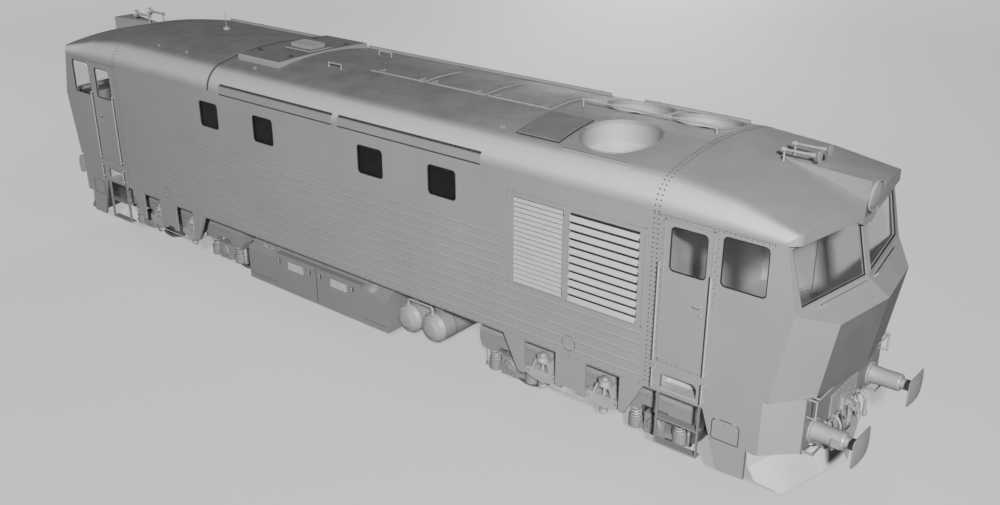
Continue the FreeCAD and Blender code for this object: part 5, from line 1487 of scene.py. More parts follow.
@dataclass
class RoofDetails:
    """Bolts, catches and lips on the hatch, the stack and the fans, and painted shade in dark
    strips under the fan cover plate and in the air slots.
    """

    bolt: Pair = (0.009, 0.005)
    hatch_pitch: float = 0.09
    hatch_side_inset: float = 0.05
    hatch_end_inset: float = 0.035
    grip_inset: float = 0.12
    grip_y: float = 0.6
    stack_offset: float = 0.11
    stack_half: Pair = (0.236, 0.136)
    stack_bolts: Pair = (0.29, 0.195)
    fans: tuple[Triple, ...] = (
        (4.6, -0.634, 0.51), (4.08, 0.63, 0.46), (5.13, 0.63, 0.46))
    lip_points: int = 72
    lip_offset: float = 0.016
    lip_rise: float = 0.002
    fan_bolts: int = 18
    fan_bolt_offset: float = 0.05
    crown_low: float = 3.6
    plate_x: Pair = (3.38, 3.99)
    plate_y: Pair = (-1.14, -0.46)
    plate_edge: Pairs = (
        (3.342, -1.178), (4.028, -1.178), (4.028, -0.43), (3.342, -0.43))
    air_slots: Pairs = ((-2.6, 0.11), (0.24, 3.0))
    slot_low: float = 0.139
    slot_high: float = 0.163

    def hatch(self) -> None:
        """Bolts along the hatch edges, its grips and the bolts of the stack."""
        low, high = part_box("exhaust_hatch")
        skin = Surface("exhaust_hatch")
        draft = Draft()
        half = high.y - self.hatch_side_inset
        places = [(x, y) for y in (-half, half)
                  for x in spaced(low.x + 0.04, high.x - 0.04, self.hatch_pitch)]
        places += [(x, y) for x in (low.x + self.hatch_end_inset, high.x - self.hatch_end_inset)
                   for y in spaced(-half, half, self.hatch_pitch)]
        draft.rivets((skin.above(x, y) for x, y in places), *self.bolt)
        for seat in [skin.above(x, y) for x in (low.x + self.grip_inset, high.x - self.grip_inset)
                     for y in (-self.grip_y, self.grip_y)]:
            if seat:
                x, y, z = seat[0]
                draft.block((x - 0.05, y - 0.035, z - 0.003), (x + 0.05, y + 0.035, z + 0.006))
                draft.tube([(x - 0.04, y, z), (x - 0.04, y, z + 0.03), (x + 0.04, y, z + 0.03),
                            (x + 0.04, y, z)], 0.005, bend=0.012)
        middle = (low.x + high.x) / 2 + self.stack_offset
        reach, away = self.stack_bolts
        for seat in [skin.above(x, side * away) for side in BOTH
                     for x in spaced(middle - reach, middle + reach, 0.116)]:
            if seat:
                draft.nut(*seat, 0.009, 0.008)
        draft.piece("hatch_bolts", Finish.RIVET, Slot.ROOF)
        self.stack(middle, high.z)

    def stack(self, middle: float, top: float) -> None:
        """Lip and fins of the exhaust opening.

        Args:
            middle: its place along the locomotive.
            top: top of the stack.
        """
        half_x, half_y = self.stack_half
        draft = Draft()
        draft.tube([(middle + x * half_x, y * half_y, top - 0.004)
                    for x, y in ((-1, -1), (1, -1), (1, 1), (-1, 1))],
                   0.008, bend=0.01, closed=True)
        for x in spaced(middle - 0.16, middle + 0.16, 0.08):
            draft.block((x - 0.003, -0.121, top - 0.06), (x + 0.003, 0.121, top - 0.012))
        draft.piece("stack_lip", Finish.ROOF_TRIM, Slot.ROOF)

    def fan_lips(self) -> None:
        """Rolled lips and bolts round the fan openings, and bolts on the cover plate."""
        skin = Surface("centre_roof", "roof_fittings")
        draft = Draft()
        for x, y, radius in self.fans:
            seats = [skin.above(x + u, y + v)
                     for u, v in circle(self.lip_points, radius + self.lip_offset)]
            draft.tube([seat[0] + Vector((0, 0, self.lip_rise)) for seat in seats if seat], 0.009,
                       closed=True)
            draft.rivets((skin.above(x + u, y + v)
                          for u, v in circle(self.fan_bolts, radius + self.fan_bolt_offset)),
                         0.008, 0.004, wanted=lambda place: place.z > self.crown_low)
        places = [(x, y) for x in spaced(*self.plate_x, 0.102) for y in self.plate_y]
        places += [(x, y) for y in spaced(*self.plate_y, 0.113) for x in self.plate_x]
        draft.rivets((skin.above(x, y) for x, y in places), *self.bolt)
        draft.piece("fan_lips", Finish.ROOF_TRIM, Slot.ROOF)

    def edge_shade(self) -> None:
        """Painted shadow: a dark strip round the lower edges of the fan cover plate."""
        skin = Surface("centre_roof")
        draft = Draft()
        first, second, third, fourth = (Vector(corner) for corner in self.plate_edge)
        for start, end in ((first, second), (second, third), (first, fourth)):
            seats = [skin.above(*start.lerp(end, step / 8)) for step in range(9)]
            draft.tube([seat[0] + Vector((0, 0, 0.008)) for seat in seats if seat], 0.010)
        draft.piece("cover_plate_shade_line", Finish.INNER)

    def slots(self) -> None:
        """Near-black screens with upright vanes at the back of the long air slots above the walls,
        and a near-black liner in the gap under each slot: painted shade.
        """
        low, high = EAVE + self.slot_low, EAVE + self.slot_high
        draft = Draft()
        for rear, front in self.air_slots:
            draft.block((rear + 0.001, WALL + 0.038, low), (front - 0.001, WALL + 0.044, high))
            for x in spaced(rear + 0.04, front - 0.04, 0.085):
                draft.block((x - 0.003, WALL + 0.012, low), (x + 0.003, WALL + 0.038, high))
            # Near-black liner in the lower gap, standing for its shadow: painted shade.
            draft.block((rear + 0.002, WALL - 0.002, EAVE - 0.008),
                        (front - 0.002, WALL + 0.012, EAVE + 0.0085))
        draft.mirrored(along=False).piece("air_slot_shade_screens", Finish.INNER)

    def build(self) -> None:
        """Builds the roof details."""
        self.hatch()
        self.fan_lips()
        self.edge_shade()
        self.slots()


@dataclass
class ScreenTrim:
    """The flat strips of the windscreen posts and the screws of the lamp rings."""

    strip_y: float = 0.045
    strip_z: Pair = (2.84, 3.5)
    lamp_lean: float = 5.0
    lens_depth: float = 0.033
    screw_circle: float = 0.1885

    def posts(self) -> None:
        """Two flat strips on each centre post."""
        skin = Surface("cab_shell_front")
        draft = Draft()
        for side in BOTH:
            seats = [skin.ahead(side * self.strip_y, z) for z in spaced(*self.strip_z, 0.1)]
            draft.strip([seat for seat in seats if seat], INWARD, half=0.016, sunk=0.003,
                        proud=0.006)
        draft.mirrored(across=False).piece("screen_post_strips", Finish.BODY_TRIM, Slot.BODY)

    def lamp_screws(self) -> None:
        """Screws round the lamp rings."""
        low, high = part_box("headlamp_lenses")
        lean = math.radians(self.lamp_lean)
        facing = Vector((math.cos(lean), 0, -math.sin(lean)))
        up = Vector((math.sin(lean), 0, math.cos(lean)))
        centre = Vector((high.x, 0, (low.z + high.z) / 2)) - facing * self.lens_depth
        draft = Draft()
        for u, v in circle(12, self.screw_circle, 0.5):
            draft.rivet(centre + up * u + Vector((0, v, 0)), facing, 0.007)
        draft.mirrored(across=False).piece("lamp_ring_screws", Finish.RAIL)

    def build(self) -> None:
        """Builds the trim of both cab fronts."""
        self.posts()
        self.lamp_screws()


@dataclass
class EndDetails:
    """Bolts, brake pipes, couplings, flaps and step treads of both ends."""

    face: float = 7.63
    plate_edge: float = 0.345
    plate_z: Pair = (0.94, 1.315)
    column_z: Triple = (0.95, 1.3, 0.087)
    plate_row: Triple = (-0.3, 0.3, 0.1)
    gear_z: float = 1.078
    gear_bolts: Pair = (0.13, 0.12)
    buffer_y: float = 0.875
    flange_radius: float = 0.155
    beam_z: float = 1.56
    beam_row: Triple = (-1.08, 1.08, 0.12)
    pipes: Pairs = ((-0.5, 0.71), (-0.28, 0.77), (0.28, 0.77),
                                              (0.5, 0.71))
    pipe_run: Pairs = ((-0.005, 0.985), (0.07, 0.985), (0.12, 0.9))
    pipe_end: float = 0.13
    cock_x: float = 0.055
    pipe_nut: Pairs = ((0.0, 0.034), (0.012, 0.034), (0.012, 0.026), (0.03, 0.026))
    pipe_cap: Pairs = ((-0.02, 0.026), (0.0, 0.032), (0.02, 0.032), (0.024, 0.024),
                         (0.05, 0.024), (0.055, 0.012))
    cock: Pairs = ((-0.03, 0.022), (0.03, 0.022), (0.034, 0.01), (0.05, 0.01))
    screw_x: float = 0.115
    screw_z: float = 0.80
    thread_turns: int = 30
    boss_z: float = 0.875
    ball: Pairs = ((-0.02, 0.01), (-0.01, 0.02), (0.01, 0.02), (0.02, 0.01))
    trunnions: Pairs = ((0.775, 0.805), (0.97, 1.0))
    flap_x: Pair = (6.645, 7.005)
    flap_z: Pair = (0.885, 1.165)
    flap_corner: float = 0.04
    catch_x: float = 6.83
    catch_inset: float = 0.03
    hinge_x: Pair = (6.71, 6.94)
    hinge_half: float = 0.035
    catch: Pairs = ((0, 0.018), (0.006, 0.018), (0.009, 0.012), (0.009, 0.004))
    step_x: Pair = (5.906, 6.394)
    step_z: Triple = (1.285, 1.3005, 1.306)
    tread_y: Triple = (0.006, 0.15, 0.036)
    stud_pitch: float = 0.03
    stud_inset: float = 0.019
    stud_shift: float = 0.012

    def bolts(self) -> None:
        """Rows of bolts on the draw plates, headstocks and buffer flanges."""
        skin = Surface("headstocks", "draw_gear", "buffers")
        places = [(y, z) for z in spaced(*self.column_z)
                  for y in (-self.plate_edge, self.plate_edge)]
        places += [(y, z) for z in self.plate_z for y in spaced(*self.plate_row)]
        places += [(sy * self.gear_bolts[0], self.gear_z + sz * self.gear_bolts[1])
                   for sy in BOTH for sz in BOTH]
        places += [(sy * (self.buffer_y + u), self.gear_z + v) for sy in BOTH
                   for u, v in circle(8, self.flange_radius, 0.5)]
        places += [(y, self.beam_z) for y in spaced(*self.beam_row)]
        draft = Draft()
        for y, z in places:
            seat = skin.ahead(y, z)
            if seat and seat[0].x < self.face + 0.12:
                draft.nut(*seat, 0.014, 0.012)
        draft.mirrored(across=False).piece("end_bolts", Finish.END, smooth=0.4)

    def brake_pipes(self) -> None:
        """Bent brake pipe ends with cocks and capped couplings under the headstock."""
        draft = Draft()
        top, cock_x = self.pipe_run[0][1], self.face + self.cock_x
        for y, end in self.pipes:
            tip = (self.face + self.pipe_end, y, end)
            draft.tube([(self.face + x, y, z) for x, z in self.pipe_run] + [tip], 0.019, 12, 0.05)
            draft.lathe((self.face, y, top), AHEAD, self.pipe_nut, 6)
            draft.lathe(tip, (0.1, 0, -1), self.pipe_cap, 16)
            draft.lathe((cock_x, y, top), UP, self.cock, 12)
            draft.tube([(cock_x, y, top + 0.045), (cock_x, y + 0.07, top + 0.055)], 0.007)
        draft.mirrored(across=False).piece("brake_pipe_ends", Finish.BUFFER)

    def coupling(self) -> None:
        """Screw thread and tommy bar between the links of each coupling."""
        draft = Draft()
        x = self.face + self.screw_x
        thread = [(-0.0005 + 0.006 * i, 0.017 if i % 2 else 0.0145)
                  for i in range(self.thread_turns)]
        draft.lathe((x, 0, self.screw_z), UP, thread, 16)
        draft.lathe((x, 0, self.boss_z), UP, ((-0.02, 0.028), (0.02, 0.028)), 8)
        draft.tube([(x, 0.02, self.boss_z), (x + 0.02, 0.12, self.screw_z)], 0.008)
        draft.lathe((x + 0.02, 0.122, self.screw_z - 0.002), (0.2, 1, -0.7), self.ball, 12)
        for low, high in self.trunnions:
            draft.block((x - 0.02, -0.045, low), (x + 0.02, 0.045, high))
        draft.mirrored(across=False).piece("coupling_screws", Finish.BUFFER)

    def skirt_flaps(self) -> None:
        """Outlined flaps with catches and hinges low on the cab sides."""
        skin = Surface("cab_shell_front")
        (rear, front), (low, high) = self.flap_x, self.flap_z
        corner = self.flap_corner
        outline = ((rear, low), (rear, high - corner), (rear + corner, high),
                   (front - corner, high), (front, high - corner), (front, low))
        seam = Draft()
        seam.tube([seat[0] for seat in (skin.beside(x, z) for x, z in outline) if seat],
                  0.0055, 6, 0.02, closed=True)
        seam.mirrored().piece("skirt_flap_seams", Finish.INNER)
        draft = Draft()
        for z in (high - self.catch_inset, low + self.catch_inset):
            seat = skin.beside(self.catch_x, z)
            if seat:
                draft.lathe(*seat, self.catch, 16)
        for x in self.hinge_x:
            ends = [skin.beside(x + way * self.hinge_half, high + 0.007) for way in BOTH]
            if all(ends):
                draft.tube([end[0] + Vector((0, -0.003, 0)) for end in ends], 0.009)
        draft.mirrored().piece("skirt_flaps", Finish.BODY_TRIM, Slot.BODY)

    def step_treads(self) -> None:
        """Studded treads in the step openings under the cab doors."""
        rear, front = self.step_x
        foot, lip, top = self.step_z
        draft = Draft()
        draft.block((rear, WALL - 0.012, lip), (front, WALL + 0.17, top))
        draft.block((rear, WALL - 0.012, foot), (front, WALL - 0.001, lip))
        for row, inward in enumerate(spaced(*self.tread_y)):
            first = rear + self.stud_inset + self.stud_shift * (row % 2)
            for x in spaced(first, front - self.stud_inset, self.stud_pitch):
                draft.rivet((x, WALL + inward, top), UP, 0.006)
        draft.mirrored().piece("step_treads", Finish.GRILLE)

    def build(self) -> None:
        """Builds the details of both ends."""
        self.bolts()
        self.brake_pipes()
        self.coupling()
        self.skirt_flaps()
        self.step_treads()


@dataclass
class UnderfloorDetails:
    """Doors, vents, catches and pipes of the equipment box and the air reservoirs."""

    face: float = -1.42
    door_face: float = -1.426
    doors: Pairs = ((-1.595, -0.61), (-0.60, 0.455))
    door_z: Pair = (0.42, 1.0)
    end_columns: tuple[float, ...] = (-2.33, -1.6, 0.5, 0.98)
    column_z: Triple = (0.42, 0.86, 0.11)
    vents: Pair = (-1.115, -0.075)
    vent_half: float = 0.19
    vent_z: Pair = (0.79, 0.925)
    hood_x: tuple[float, ...] = (-0.152, -0.076, 0.0, 0.076, 0.152)
    hood_z: Triple = (0.813, 0.857, 0.901)
    hood: tuple[tuple[Triple, Triple], ...] = (
        ((0.03, -0.009, -0.016), (0.03, -0.009, 0.016)),
        ((0.026, -0.026, -0.016), (0.028, -0.012, 0.014)))
    handles: tuple[float, ...] = (-1.514, -0.758, -0.499, 0.258)
    handle_run: Pairs = ((0.0, 0.855), (0.024, 0.86), (0.024, 0.915), (0.0, 0.92))
    cup_z: Pair = (0.84, 0.935)
    door_gap: Pair = (-0.611, -0.599)
    end_seams: Pairs = ((-2.33, -1.62), (0.48, 0.99))
    end_seam_z: Pair = (0.455, 0.461)
    drains: Pair = (-1.061, 0.007)
    drain_z: Pair = (0.345, 0.375)
    filler_at: Pair = (0.62, 0.975)
    outlet_at: Pair = (-2.0, 0.985)
    lever: tuple[tuple[float, Triple], ...] = (
        (0.045, (0.0, 0.0, 0.0)), (0.05, (0.06, 0.0, -0.05)), (0.03, (0.12, 0.0, -0.09)))
    filler: Pairs = ((-0.01, 0.082), (0.012, 0.082), (0.012, 0.068), (0.004, 0.066),
                       (0.004, 0.05), (0.022, 0.05), (0.026, 0.04), (0.026, 0.001))
    outlet: Pairs = ((-0.01, 0.03), (0.03, 0.03), (0.034, 0.02), (0.06, 0.02))
    plug: Pairs = ((-0.01, 0.022), (0.02, 0.022), (0.02, 0.001))
    reservoir_radius: float = 0.24
    reservoir_z: float = 0.62
    strap_y: tuple[float, ...] = (-0.95, -0.35, 0.35, 0.95)
    pipe_y: float = 1.205
    pipe_top: float = 0.96
    pipe_flange: Pairs = ((-0.005, 0.04), (0.012, 0.04), (0.016, 0.028), (0.04, 0.028))

    def box_doors(self) -> None:
        """Doors, their hinges and rivets on both sides of the equipment box."""
        skin = Surface("equipment_box")
        draft = Draft()
        low, high = self.door_z
        for rear, front in self.doors:
            draft.block((rear, self.door_face, low), (front, self.face + 0.002, high))
            draft.block((rear, self.door_face, high), (front, self.face + 0.10, high + 0.012))
            for x in spaced(rear + 0.12, front - 0.12, 0.35):
                draft.lathe((x - 0.03, self.face - 0.004, low + 0.005), AHEAD,
                            ((0, 0.009), (0.06, 0.009)), 10)
        draft.rivets((skin.beside(x, z) for x in self.end_columns
                      for z in spaced(*self.column_z)), 0.007, 0.003)
        draft.mirrored(along=False).piece("equipment_doors", Finish.FRAME, bevel=0.002)

    def fittings(self) -> None:
        """Handles on near-black cups, which paint the shade of their recesses, with the handle bars
        in a lighter grey as a painted highlight; dark door seams and drain plugs of the equipment
        box.
        """
        shade_and_seams = Draft()
        bars = Draft()
        y = self.door_face
        low, high = self.cup_z
        for x in self.handles:
            # Near-black cup behind each handle: painted shade.
            shade_and_seams.block((x - 0.017, y - 0.003, low), (x + 0.017, y + 0.002, high))
            bars.tube([(x, y - out, z) for out, z in self.handle_run], 0.008, bend=0.01)
        shade_and_seams.block((self.door_gap[0], y - 0.001, self.door_z[0]),
                   (self.door_gap[1], y + 0.004, self.door_z[1]))
        low, high = self.end_seam_z
        for rear, front in self.end_seams:
            shade_and_seams.block((rear, y + 0.004, low), (front, y + 0.008, high))
        low, high = self.drain_z
        for x in self.drains:
            bars.block((x - 0.06, y + 0.03, low), (x + 0.06, y + 0.06, high))
            bars.lathe((x, y + 0.045, low), DOWN, ((0, 0.022), (0.014, 0.022), (0.018, 0.012)), 6)
        shade_and_seams.mirrored(along=False).piece("box_handle_shade_and_seams", Finish.INNER)
        # The handle bars take the lighter rail grey: painted highlight.
        bars.mirrored(along=False).piece("box_handles", Finish.RAIL)

    def box_vents(self) -> None:
        """Vent panels of the doors, with three rows of five hoods."""
        draft = Draft()
        y = self.face
        for middle in self.vents:
            draft.block((middle - self.vent_half, y - 0.010, self.vent_z[0]),
                        (middle + self.vent_half, y - 0.005, self.vent_z[1]))
            for x, z in ((middle + offset, z) for offset in self.hood_x for z in self.hood_z):
                draft.loft([[(x + way * half, y + out, z + rise) for way, (half, out, rise)
                             in ((-1, low), (1, low), (1, high), (-1, high))]
                            for low, high in self.hood])
        draft.mirrored(along=False).piece("box_vents", Finish.GRILLE)

    def ports(self) -> None:
        """Filler ports on the slopes of the box and the fittings at its rear."""
        skin = Surface("equipment_box")
        draft = Draft()
        for side in BOTH:
            seat = skin.beside(*self.filler_at, side)
            if seat:
                at, out = seat
                draft.lathe(at, out, self.filler, 28)
                level = out.orthogonal().normalized()
                up = out.cross(level)
                for u, v in circle(8, 0.075, 0.5):
                    draft.rivet(at + out * 0.011 + level * u + up * v, out, 0.005, 0.004)
            seat = skin.beside(*self.outlet_at, side)
            if seat:
                at, out = seat
                draft.lathe(at, out, self.outlet, 16)
                draft.tube([at + out * lift + Vector(step) for lift, step in self.lever], 0.007,
                           bend=0.02)
                draft.lathe(at + Vector((0.16, 0, 0)), out, self.plug, 14)
        draft.piece("box_ports", Finish.RAIL)

    def reservoirs(self) -> None:
        """Straps round the reservoirs and the pipe that joins them."""
        low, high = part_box("air_reservoirs")
        radius, middle = self.reservoir_radius, self.reservoir_z
        places = (low.x + radius, high.x - radius)
        strap = ((0, radius - 0.004), (0, radius + 0.006), (0.06, radius + 0.006),
                 (0.06, radius - 0.004))
        draft = Draft()
        for x in places:
            for y in self.strap_y:
                draft.lathe((x, y - 0.03, middle), INWARD, strap, 36)
                for edge in (x - radius - 0.004, x + radius + 0.004):
                    draft.tube([(edge, y, middle + 0.02), (edge, y, middle + 0.36)], 0.008)
        draft.piece("reservoir_straps", Finish.FRAME)
        draft = Draft()
        foot, top = middle + radius - 0.006, self.pipe_top
        for y in (-self.pipe_y, self.pipe_y):
            draft.tube([(places[0], y, foot), (places[0], y, top), (places[1], y, top),
                        (places[1], y, foot)], 0.019, 12, 0.06)
            for x in places:
                draft.lathe((x, y, foot), UP, self.pipe_flange, 14)
        draft.piece("reservoir_pipes", Finish.RAIL)

    def build(self) -> None:
        """Builds the underfloor details."""
        self.box_doors()
        self.fittings()
        self.box_vents()
        self.ports()
        self.reservoirs()


@dataclass
class BogieDetails:
    """Coil springs, dampers, brake blocks, bolts and pipes of one bogie."""

    end: str
    sign: int
    pivot: float = 4.5
    half_base: float = 1.2
    axle_z: float = 0.528
    spring_y: float = 1.15
    spring_offset: float = 0.33
    spring_foot: float = 0.5
    spring_top: float = 0.68
    cap: float = 0.022
    coils: tuple[Triple, ...] = ((0.066, 0.0135, 4.6), (0.036, 0.008, 6.6))
    foot_plate: Pairs = ((-0.001, 0.088), (0.006, 0.088), (0.006, 0.02), (0.03, 0.02))
    top_plate: Pairs = ((-0.024, 0.02), (-0.024, 0.09), (0.0, 0.09))
    damper_offset: float = 0.47
    damper_foot: float = 0.4
    damper: Pairs = ((0.0, 0.012), (0.0, 0.02), (0.03, 0.02), (0.03, 0.026), (0.12, 0.026),
                       (0.12, 0.0335), (0.25, 0.0335), (0.25, 0.018), (0.28, 0.018))
    box_face: float = 1.245
    box_bolt_x: float = 0.12
    box_bolt_z: Pair = (0.42, 0.635)
    cover_face: float = 1.267
    cover_bolts: float = 0.078
    cover_cap: Pairs = ((-0.001, 0.05), (0.012, 0.05), (0.018, 0.04), (0.018, 0.001))
    frame_face: float = 1.24
    frame_bolt_z: float = 0.86
    pipe_y: float = 1.253
    pipe_z: Pair = (0.93, 0.90)
    pipe_dip: Pair = (0.68, 0.75)
    clips: Pairs = ((-1.1, 0.93), (-0.25, 0.90), (0.25, 0.90), (1.1, 0.93))
    block_y: float = 0.748
    block_radii: Pair = (0.512, 0.56)
    block_reach: Triple = (-17.0, 17.0, 4.25)
    block_half: float = 0.04
    hanger_offset: float = 0.575
    hanger_run: Pairs = ((0.0, 0.55), (0.02, 0.66), (0.02, 0.80))
    beam_z: float = 0.53
    beam_half: float = 0.80
    swing: Triple = (0.508, 1.38, 1.0385)
    swing_pin: Triple = (0.21, 1.43, 0.735)
    swing_nut: Pairs = ((0, 0.032), (0.0, 0.033), (0.018, 0.033), (0.022, 0.022),
                          (0.022, 0.001))

    @property
    def body(self) -> str:
        """Name of the bogie's body."""
        return f"bogie_{self.end}"

    @property
    def middle(self) -> float:
        """Place of the pivot along the locomotive."""
        return self.pivot * self.sign

    def axle_points(self) -> list[tuple[float, int, int]]:
        """Returns (x of the axle, its side of the pivot, side of the bogie)."""
        return [(self.middle + self.half_base * way, way, side) for way in BOTH for side in BOTH]

    def springs(self) -> None:
        """Real coils and dampers in place of their solid envelopes."""
        draft = Draft()
        height = self.spring_top - self.cap - self.spring_foot
        for axle, way, side in self.axle_points():
            y = side * self.spring_y
            for x in (axle - self.spring_offset, axle + self.spring_offset):
                for radius, wire, turns in self.coils:
                    draft.coil((x, y, self.spring_foot), height, radius, wire, turns)
                draft.lathe((x, y, self.spring_foot), UP, self.foot_plate)
                draft.lathe((x, y, self.spring_top), UP, self.top_plate)
            draft.lathe((axle + self.damper_offset * way, y, self.damper_foot), UP, self.damper, 18)
        draft.piece(f"coil_springs_{self.end}", Finish.SPRING, body=self.body, smooth=0.9,
                    replaces=(f"springs_{self.end}",))

    def covers(self) -> None:
        """Bolts on the axle covers and caps on their middles."""
        draft = Draft()
        for x, _, side in self.axle_points():
            out, face = (0, side, 0), side * self.cover_face
            for u, v in circle(6, self.cover_bolts, 0.5):
                draft.nut((x + u, face, self.axle_z + v), out, 0.012, 0.011)
            draft.lathe((x, face, self.axle_z), out, self.cover_cap, 24)
            for corner in (x - self.box_bolt_x, x + self.box_bolt_x):
                for z in self.box_bolt_z:
                    draft.nut((corner, side * self.box_face, z), out, 0.013, 0.012)
        draft.piece(f"axle_cover_bolts_{self.end}", Finish.BOGIE, body=self.body)

    def frame_bolts(self) -> None:
        """Bolt rows and a brake pipe along the outside of each side frame."""
        skin = Surface(f"bogie_frame_{self.end}")
        low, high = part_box(f"bogie_frame_{self.end}")
        level, dip = self.pipe_z
        near, far = self.pipe_dip
        draft = Draft()
        for side in BOTH:
            draft.rivets((skin.beside(x, self.frame_bolt_z, side)
                          for x in spaced(low.x + 0.12, high.x - 0.12, 0.16)), 0.013, 0.008,
                         wanted=lambda place: abs(abs(place.y) - self.frame_face) < 0.02)
            line = ((low.x + 0.3, level), (self.middle - far, level), (self.middle - near, dip),
                    (self.middle + near, dip), (self.middle + far, level), (high.x - 0.3, level))
            draft.tube([(x, side * self.pipe_y, z) for x, z in line], 0.0105, bend=0.03)
            for offset, z in self.clips:
                x, y = self.middle + offset, side * self.frame_face
                draft.block((x - 0.015, y - 0.001, z - 0.022),
                            (x + 0.015, y + side * 0.02, z + 0.022))
        draft.piece(f"frame_bolts_{self.end}", Finish.BOGIE, body=self.body)

    def brakes(self) -> None:
        """Brake blocks on hangers at both sides of every wheel."""
        draft = Draft()
        inner, outer = self.block_radii
        angles = [math.radians(degrees) for degrees in spaced(*self.block_reach)]
        arc = [(inner * math.cos(turn), inner * math.sin(turn)) for turn in angles]
        arc += [(outer * math.cos(turn), outer * math.sin(turn)) for turn in reversed(angles)]
        for x, _, side in self.axle_points():
            y = side * self.block_y
            for way in BOTH:
                draft.loft([[(x + way * u, depth, self.axle_z + v) for u, v in arc]
                            for depth in (y - self.block_half, y + self.block_half)])
                at = x + way * self.hanger_offset
                draft.tube([(at + way * out, y, z) for out, z in self.hanger_run], 0.016,
                           bend=0.03)
                draft.lathe((at, y - 0.05, self.beam_z), INWARD, ((0, 0.03), (0.1, 0.03)), 14)
                if side > 0:
                    draft.tube([(at, end * self.beam_half, self.beam_z) for end in BOTH], 0.018, 10)
        draft.piece(f"brake_blocks_{self.end}", Finish.BOGIE, body=self.body)

    def hanger_nuts(self) -> None:
        """Locking nuts and pin heads of the swing hangers."""
        draft = Draft()
        offset, y, z = self.swing
        pin_x, pin_y, pin_z = self.swing_pin
        for x in (self.middle - offset, self.middle + offset):
            for side in BOTH:
                draft.lathe((x, side * y, z), UP, self.swing_nut, 6)
                for pin in (x - pin_x, x + pin_x):
                    draft.nut((pin, side * pin_y, pin_z), (0, side, 0), 0.014, 0.01)
        draft.piece(f"hanger_nuts_{self.end}", Finish.BOGIE, body=self.body)

    def build(self) -> None:
        """Builds the bogie's details."""
        self.springs()
        self.covers()
        self.frame_bolts()
        self.brakes()
        self.hanger_nuts()


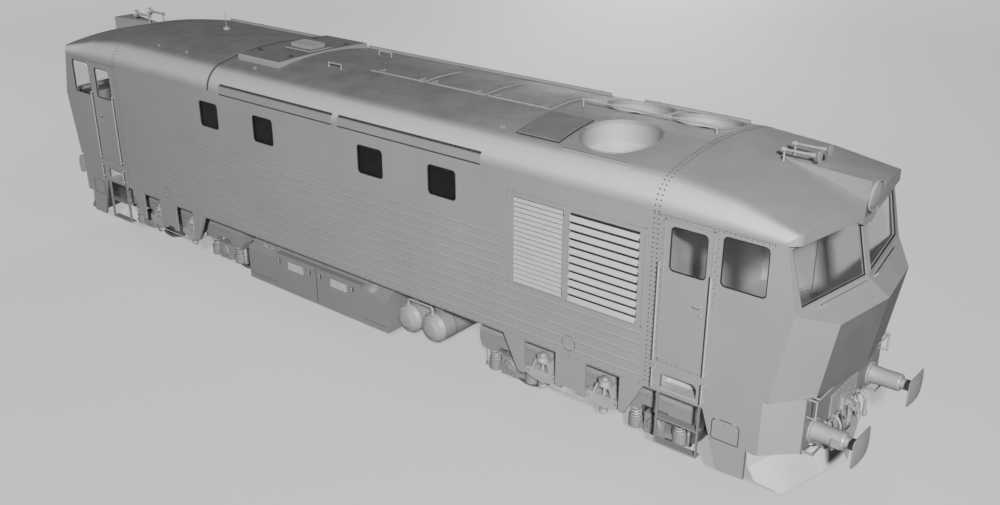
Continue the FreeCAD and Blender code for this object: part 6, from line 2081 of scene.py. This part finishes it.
@dataclass
class Studio:
    """Floor, lamps, surroundings and camera."""

    centre: Triple = (0.0, 0.0, 2.0)
    eye: Triple = (11.5750644, -11.4129541, 7.92593439)
    turn: Triple = (1.88488130, 0.681488742, -0.449024172)
    lens: float = 37.7898
    film_width: float = 36.0
    floor_colour: Colour = (0.16, 0.16, 0.16)
    far_floor: Colour = (0.008, 0.008, 0.008)
    floor_rings: tuple[float, ...] = (1e-3, 30.0, 160.0)
    floor_sides: int = 64
    colour_fade: Pair = (13.0, 30.0)
    glow_fade: Pair = (8.0, 45.0)
    near_glow: float = 0.4
    far_glow: float = 0.5
    gloss_share: float = 0.3
    sky: Colour = (0.92, 0.95, 1.0)
    seen_sky: Colour = (0.80, 0.80, 0.80)
    sky_strength: float = 0.02
    seen_strength: float = 0.605
    lamps: tuple[tuple[str, Triple, float, float], ...] = (
        ("key_lamp", (27.5, -29.4, 22.0), 2.6, 21500.0),
        ("side_lamp", (-39.0, -3.0, 8.0), 14.0, 3000.0),
        ("far_lamp", (-18.0, 35.6, 11.0), 14.0, 4200.0))

    def floor(self) -> None:
        """A wide pale floor whose own colour gives way to a pale glow far away."""
        mesh = bmesh.new()
        rings = [[mesh.verts.new((u, v, 0.0)) for u, v in circle(self.floor_sides, radius)]
                 for radius in self.floor_rings]
        for first, second in zip(rings, rings[1:]):
            for i in range(self.floor_sides):
                mesh.faces.new((first[i - 1], second[i - 1], second[i], first[i]))
        data = bpy.data.meshes.new("studio_floor")
        mesh.to_mesh(data)
        mesh.free()
        data.materials.append(self.floor_material())
        placed("studio_floor", data)

    def floor_material(self) -> Material:
        """Makes the floor's material, which glows for the camera, gloss and glass alone.

        Returns:
            The material.
        """
        material, graph, shader = blank("studio_floor")
        reach = graph.add("VectorMath", operation="LENGTH")
        graph.feed(graph.add("TexCoord").outputs["Object"], reach.inputs[0])
        distance = reach.outputs["Value"]
        near = graph.mix(graph.noise(0.15, 2.0), self.floor_colour,
                         tuple(0.97 * part for part in self.floor_colour))
        graph.feed(graph.mix(graph.ramp(distance, *self.colour_fade), near, self.far_floor),
                   shader.inputs["Base Color"])
        shader.inputs["Roughness"].default_value = 0.85
        path = graph.add("LightPath").outputs
        gloss = graph.times(path["Is Glossy Ray"], self.gloss_share)
        seen = graph.math("MAXIMUM", path["Is Camera Ray"],
                          graph.math("MAXIMUM", gloss, path["Is Transmission Ray"]))
        glow = graph.math("MULTIPLY_ADD", graph.ramp(distance, *self.glow_fade),
                          self.far_glow - self.near_glow, self.near_glow)
        shader.inputs["Emission Color"].default_value = (1.0, 1.0, 1.0, 1.0)
        graph.feed(graph.times(seen, glow), shader.inputs["Emission Strength"])
        return material

    def surroundings(self) -> None:
        """Even pale light from all round, and the same pale tone for the camera."""
        world = bpy.data.worlds.new("studio")
        bpy.context.scene.world = world
        world.use_nodes = True
        graph = Graph(world.node_tree)
        background = world.node_tree.nodes["Background"]
        path = graph.add("LightPath").outputs
        seen = graph.math("MAXIMUM", path["Is Camera Ray"], path["Is Transmission Ray"])
        graph.feed(graph.mix(seen, self.sky, self.seen_sky), background.inputs["Color"])
        graph.feed(graph.math("MULTIPLY_ADD", seen, self.seen_strength, self.sky_strength),
                   background.inputs["Strength"])

    def lamp(self, name: str, place: Point, size: float, power: float) -> None:
        """Adds a square area lamp that faces the locomotive.

        Args:
            name: the lamp's name.
            place: where it hangs.
            size: side length.
            power: watts.
        """
        data = bpy.data.lights.new(name, "AREA")
        data.energy = power
        data.shape = "SQUARE"
        data.size = size
        made = placed(name, data)
        made.location = place
        facing = Vector(self.centre) - Vector(place)
        made.rotation_euler = facing.to_track_quat("-Z", "Y").to_euler()

    def camera(self) -> None:
        """Places the camera at the front right corner, above the roof."""
        turn = Vector(self.turn)
        view = Quaternion(turn.normalized(), turn.length).to_matrix()
        axes = Matrix((view[0], -view[1], -view[2])).transposed()
        data = bpy.data.cameras.new("camera")
        data.lens = self.lens
        data.sensor_width = self.film_width
        data.clip_start = 0.1
        data.clip_end = 500.0
        made = placed("camera", data)
        made.matrix_world = Matrix.Translation(Vector(self.eye)) @ axes.to_4x4()
        bpy.context.scene.camera = made

    def build(self) -> None:
        """Builds the studio."""
        self.floor()
        self.surroundings()
        for lamp in self.lamps:
            self.lamp(*lamp)
        self.camera()
        bpy.context.scene.view_settings.view_transform = "Standard"


def main() -> None:
    """Builds every sub-assembly in order."""
    assemblies = (
        NodeFinishes(), SideRibs(), RivetBands(), Seals(), DoorTrim(), DoorFrames(), GrilleTrim(),
        RoofDetails(), ScreenTrim(), EndDetails(), UnderfloorDetails(), BogieDetails("front", 1),
        BogieDetails("rear", -1), Studio())
    for assembly in assemblies:
        assembly.build()


if __name__ == "__main__":
    main()
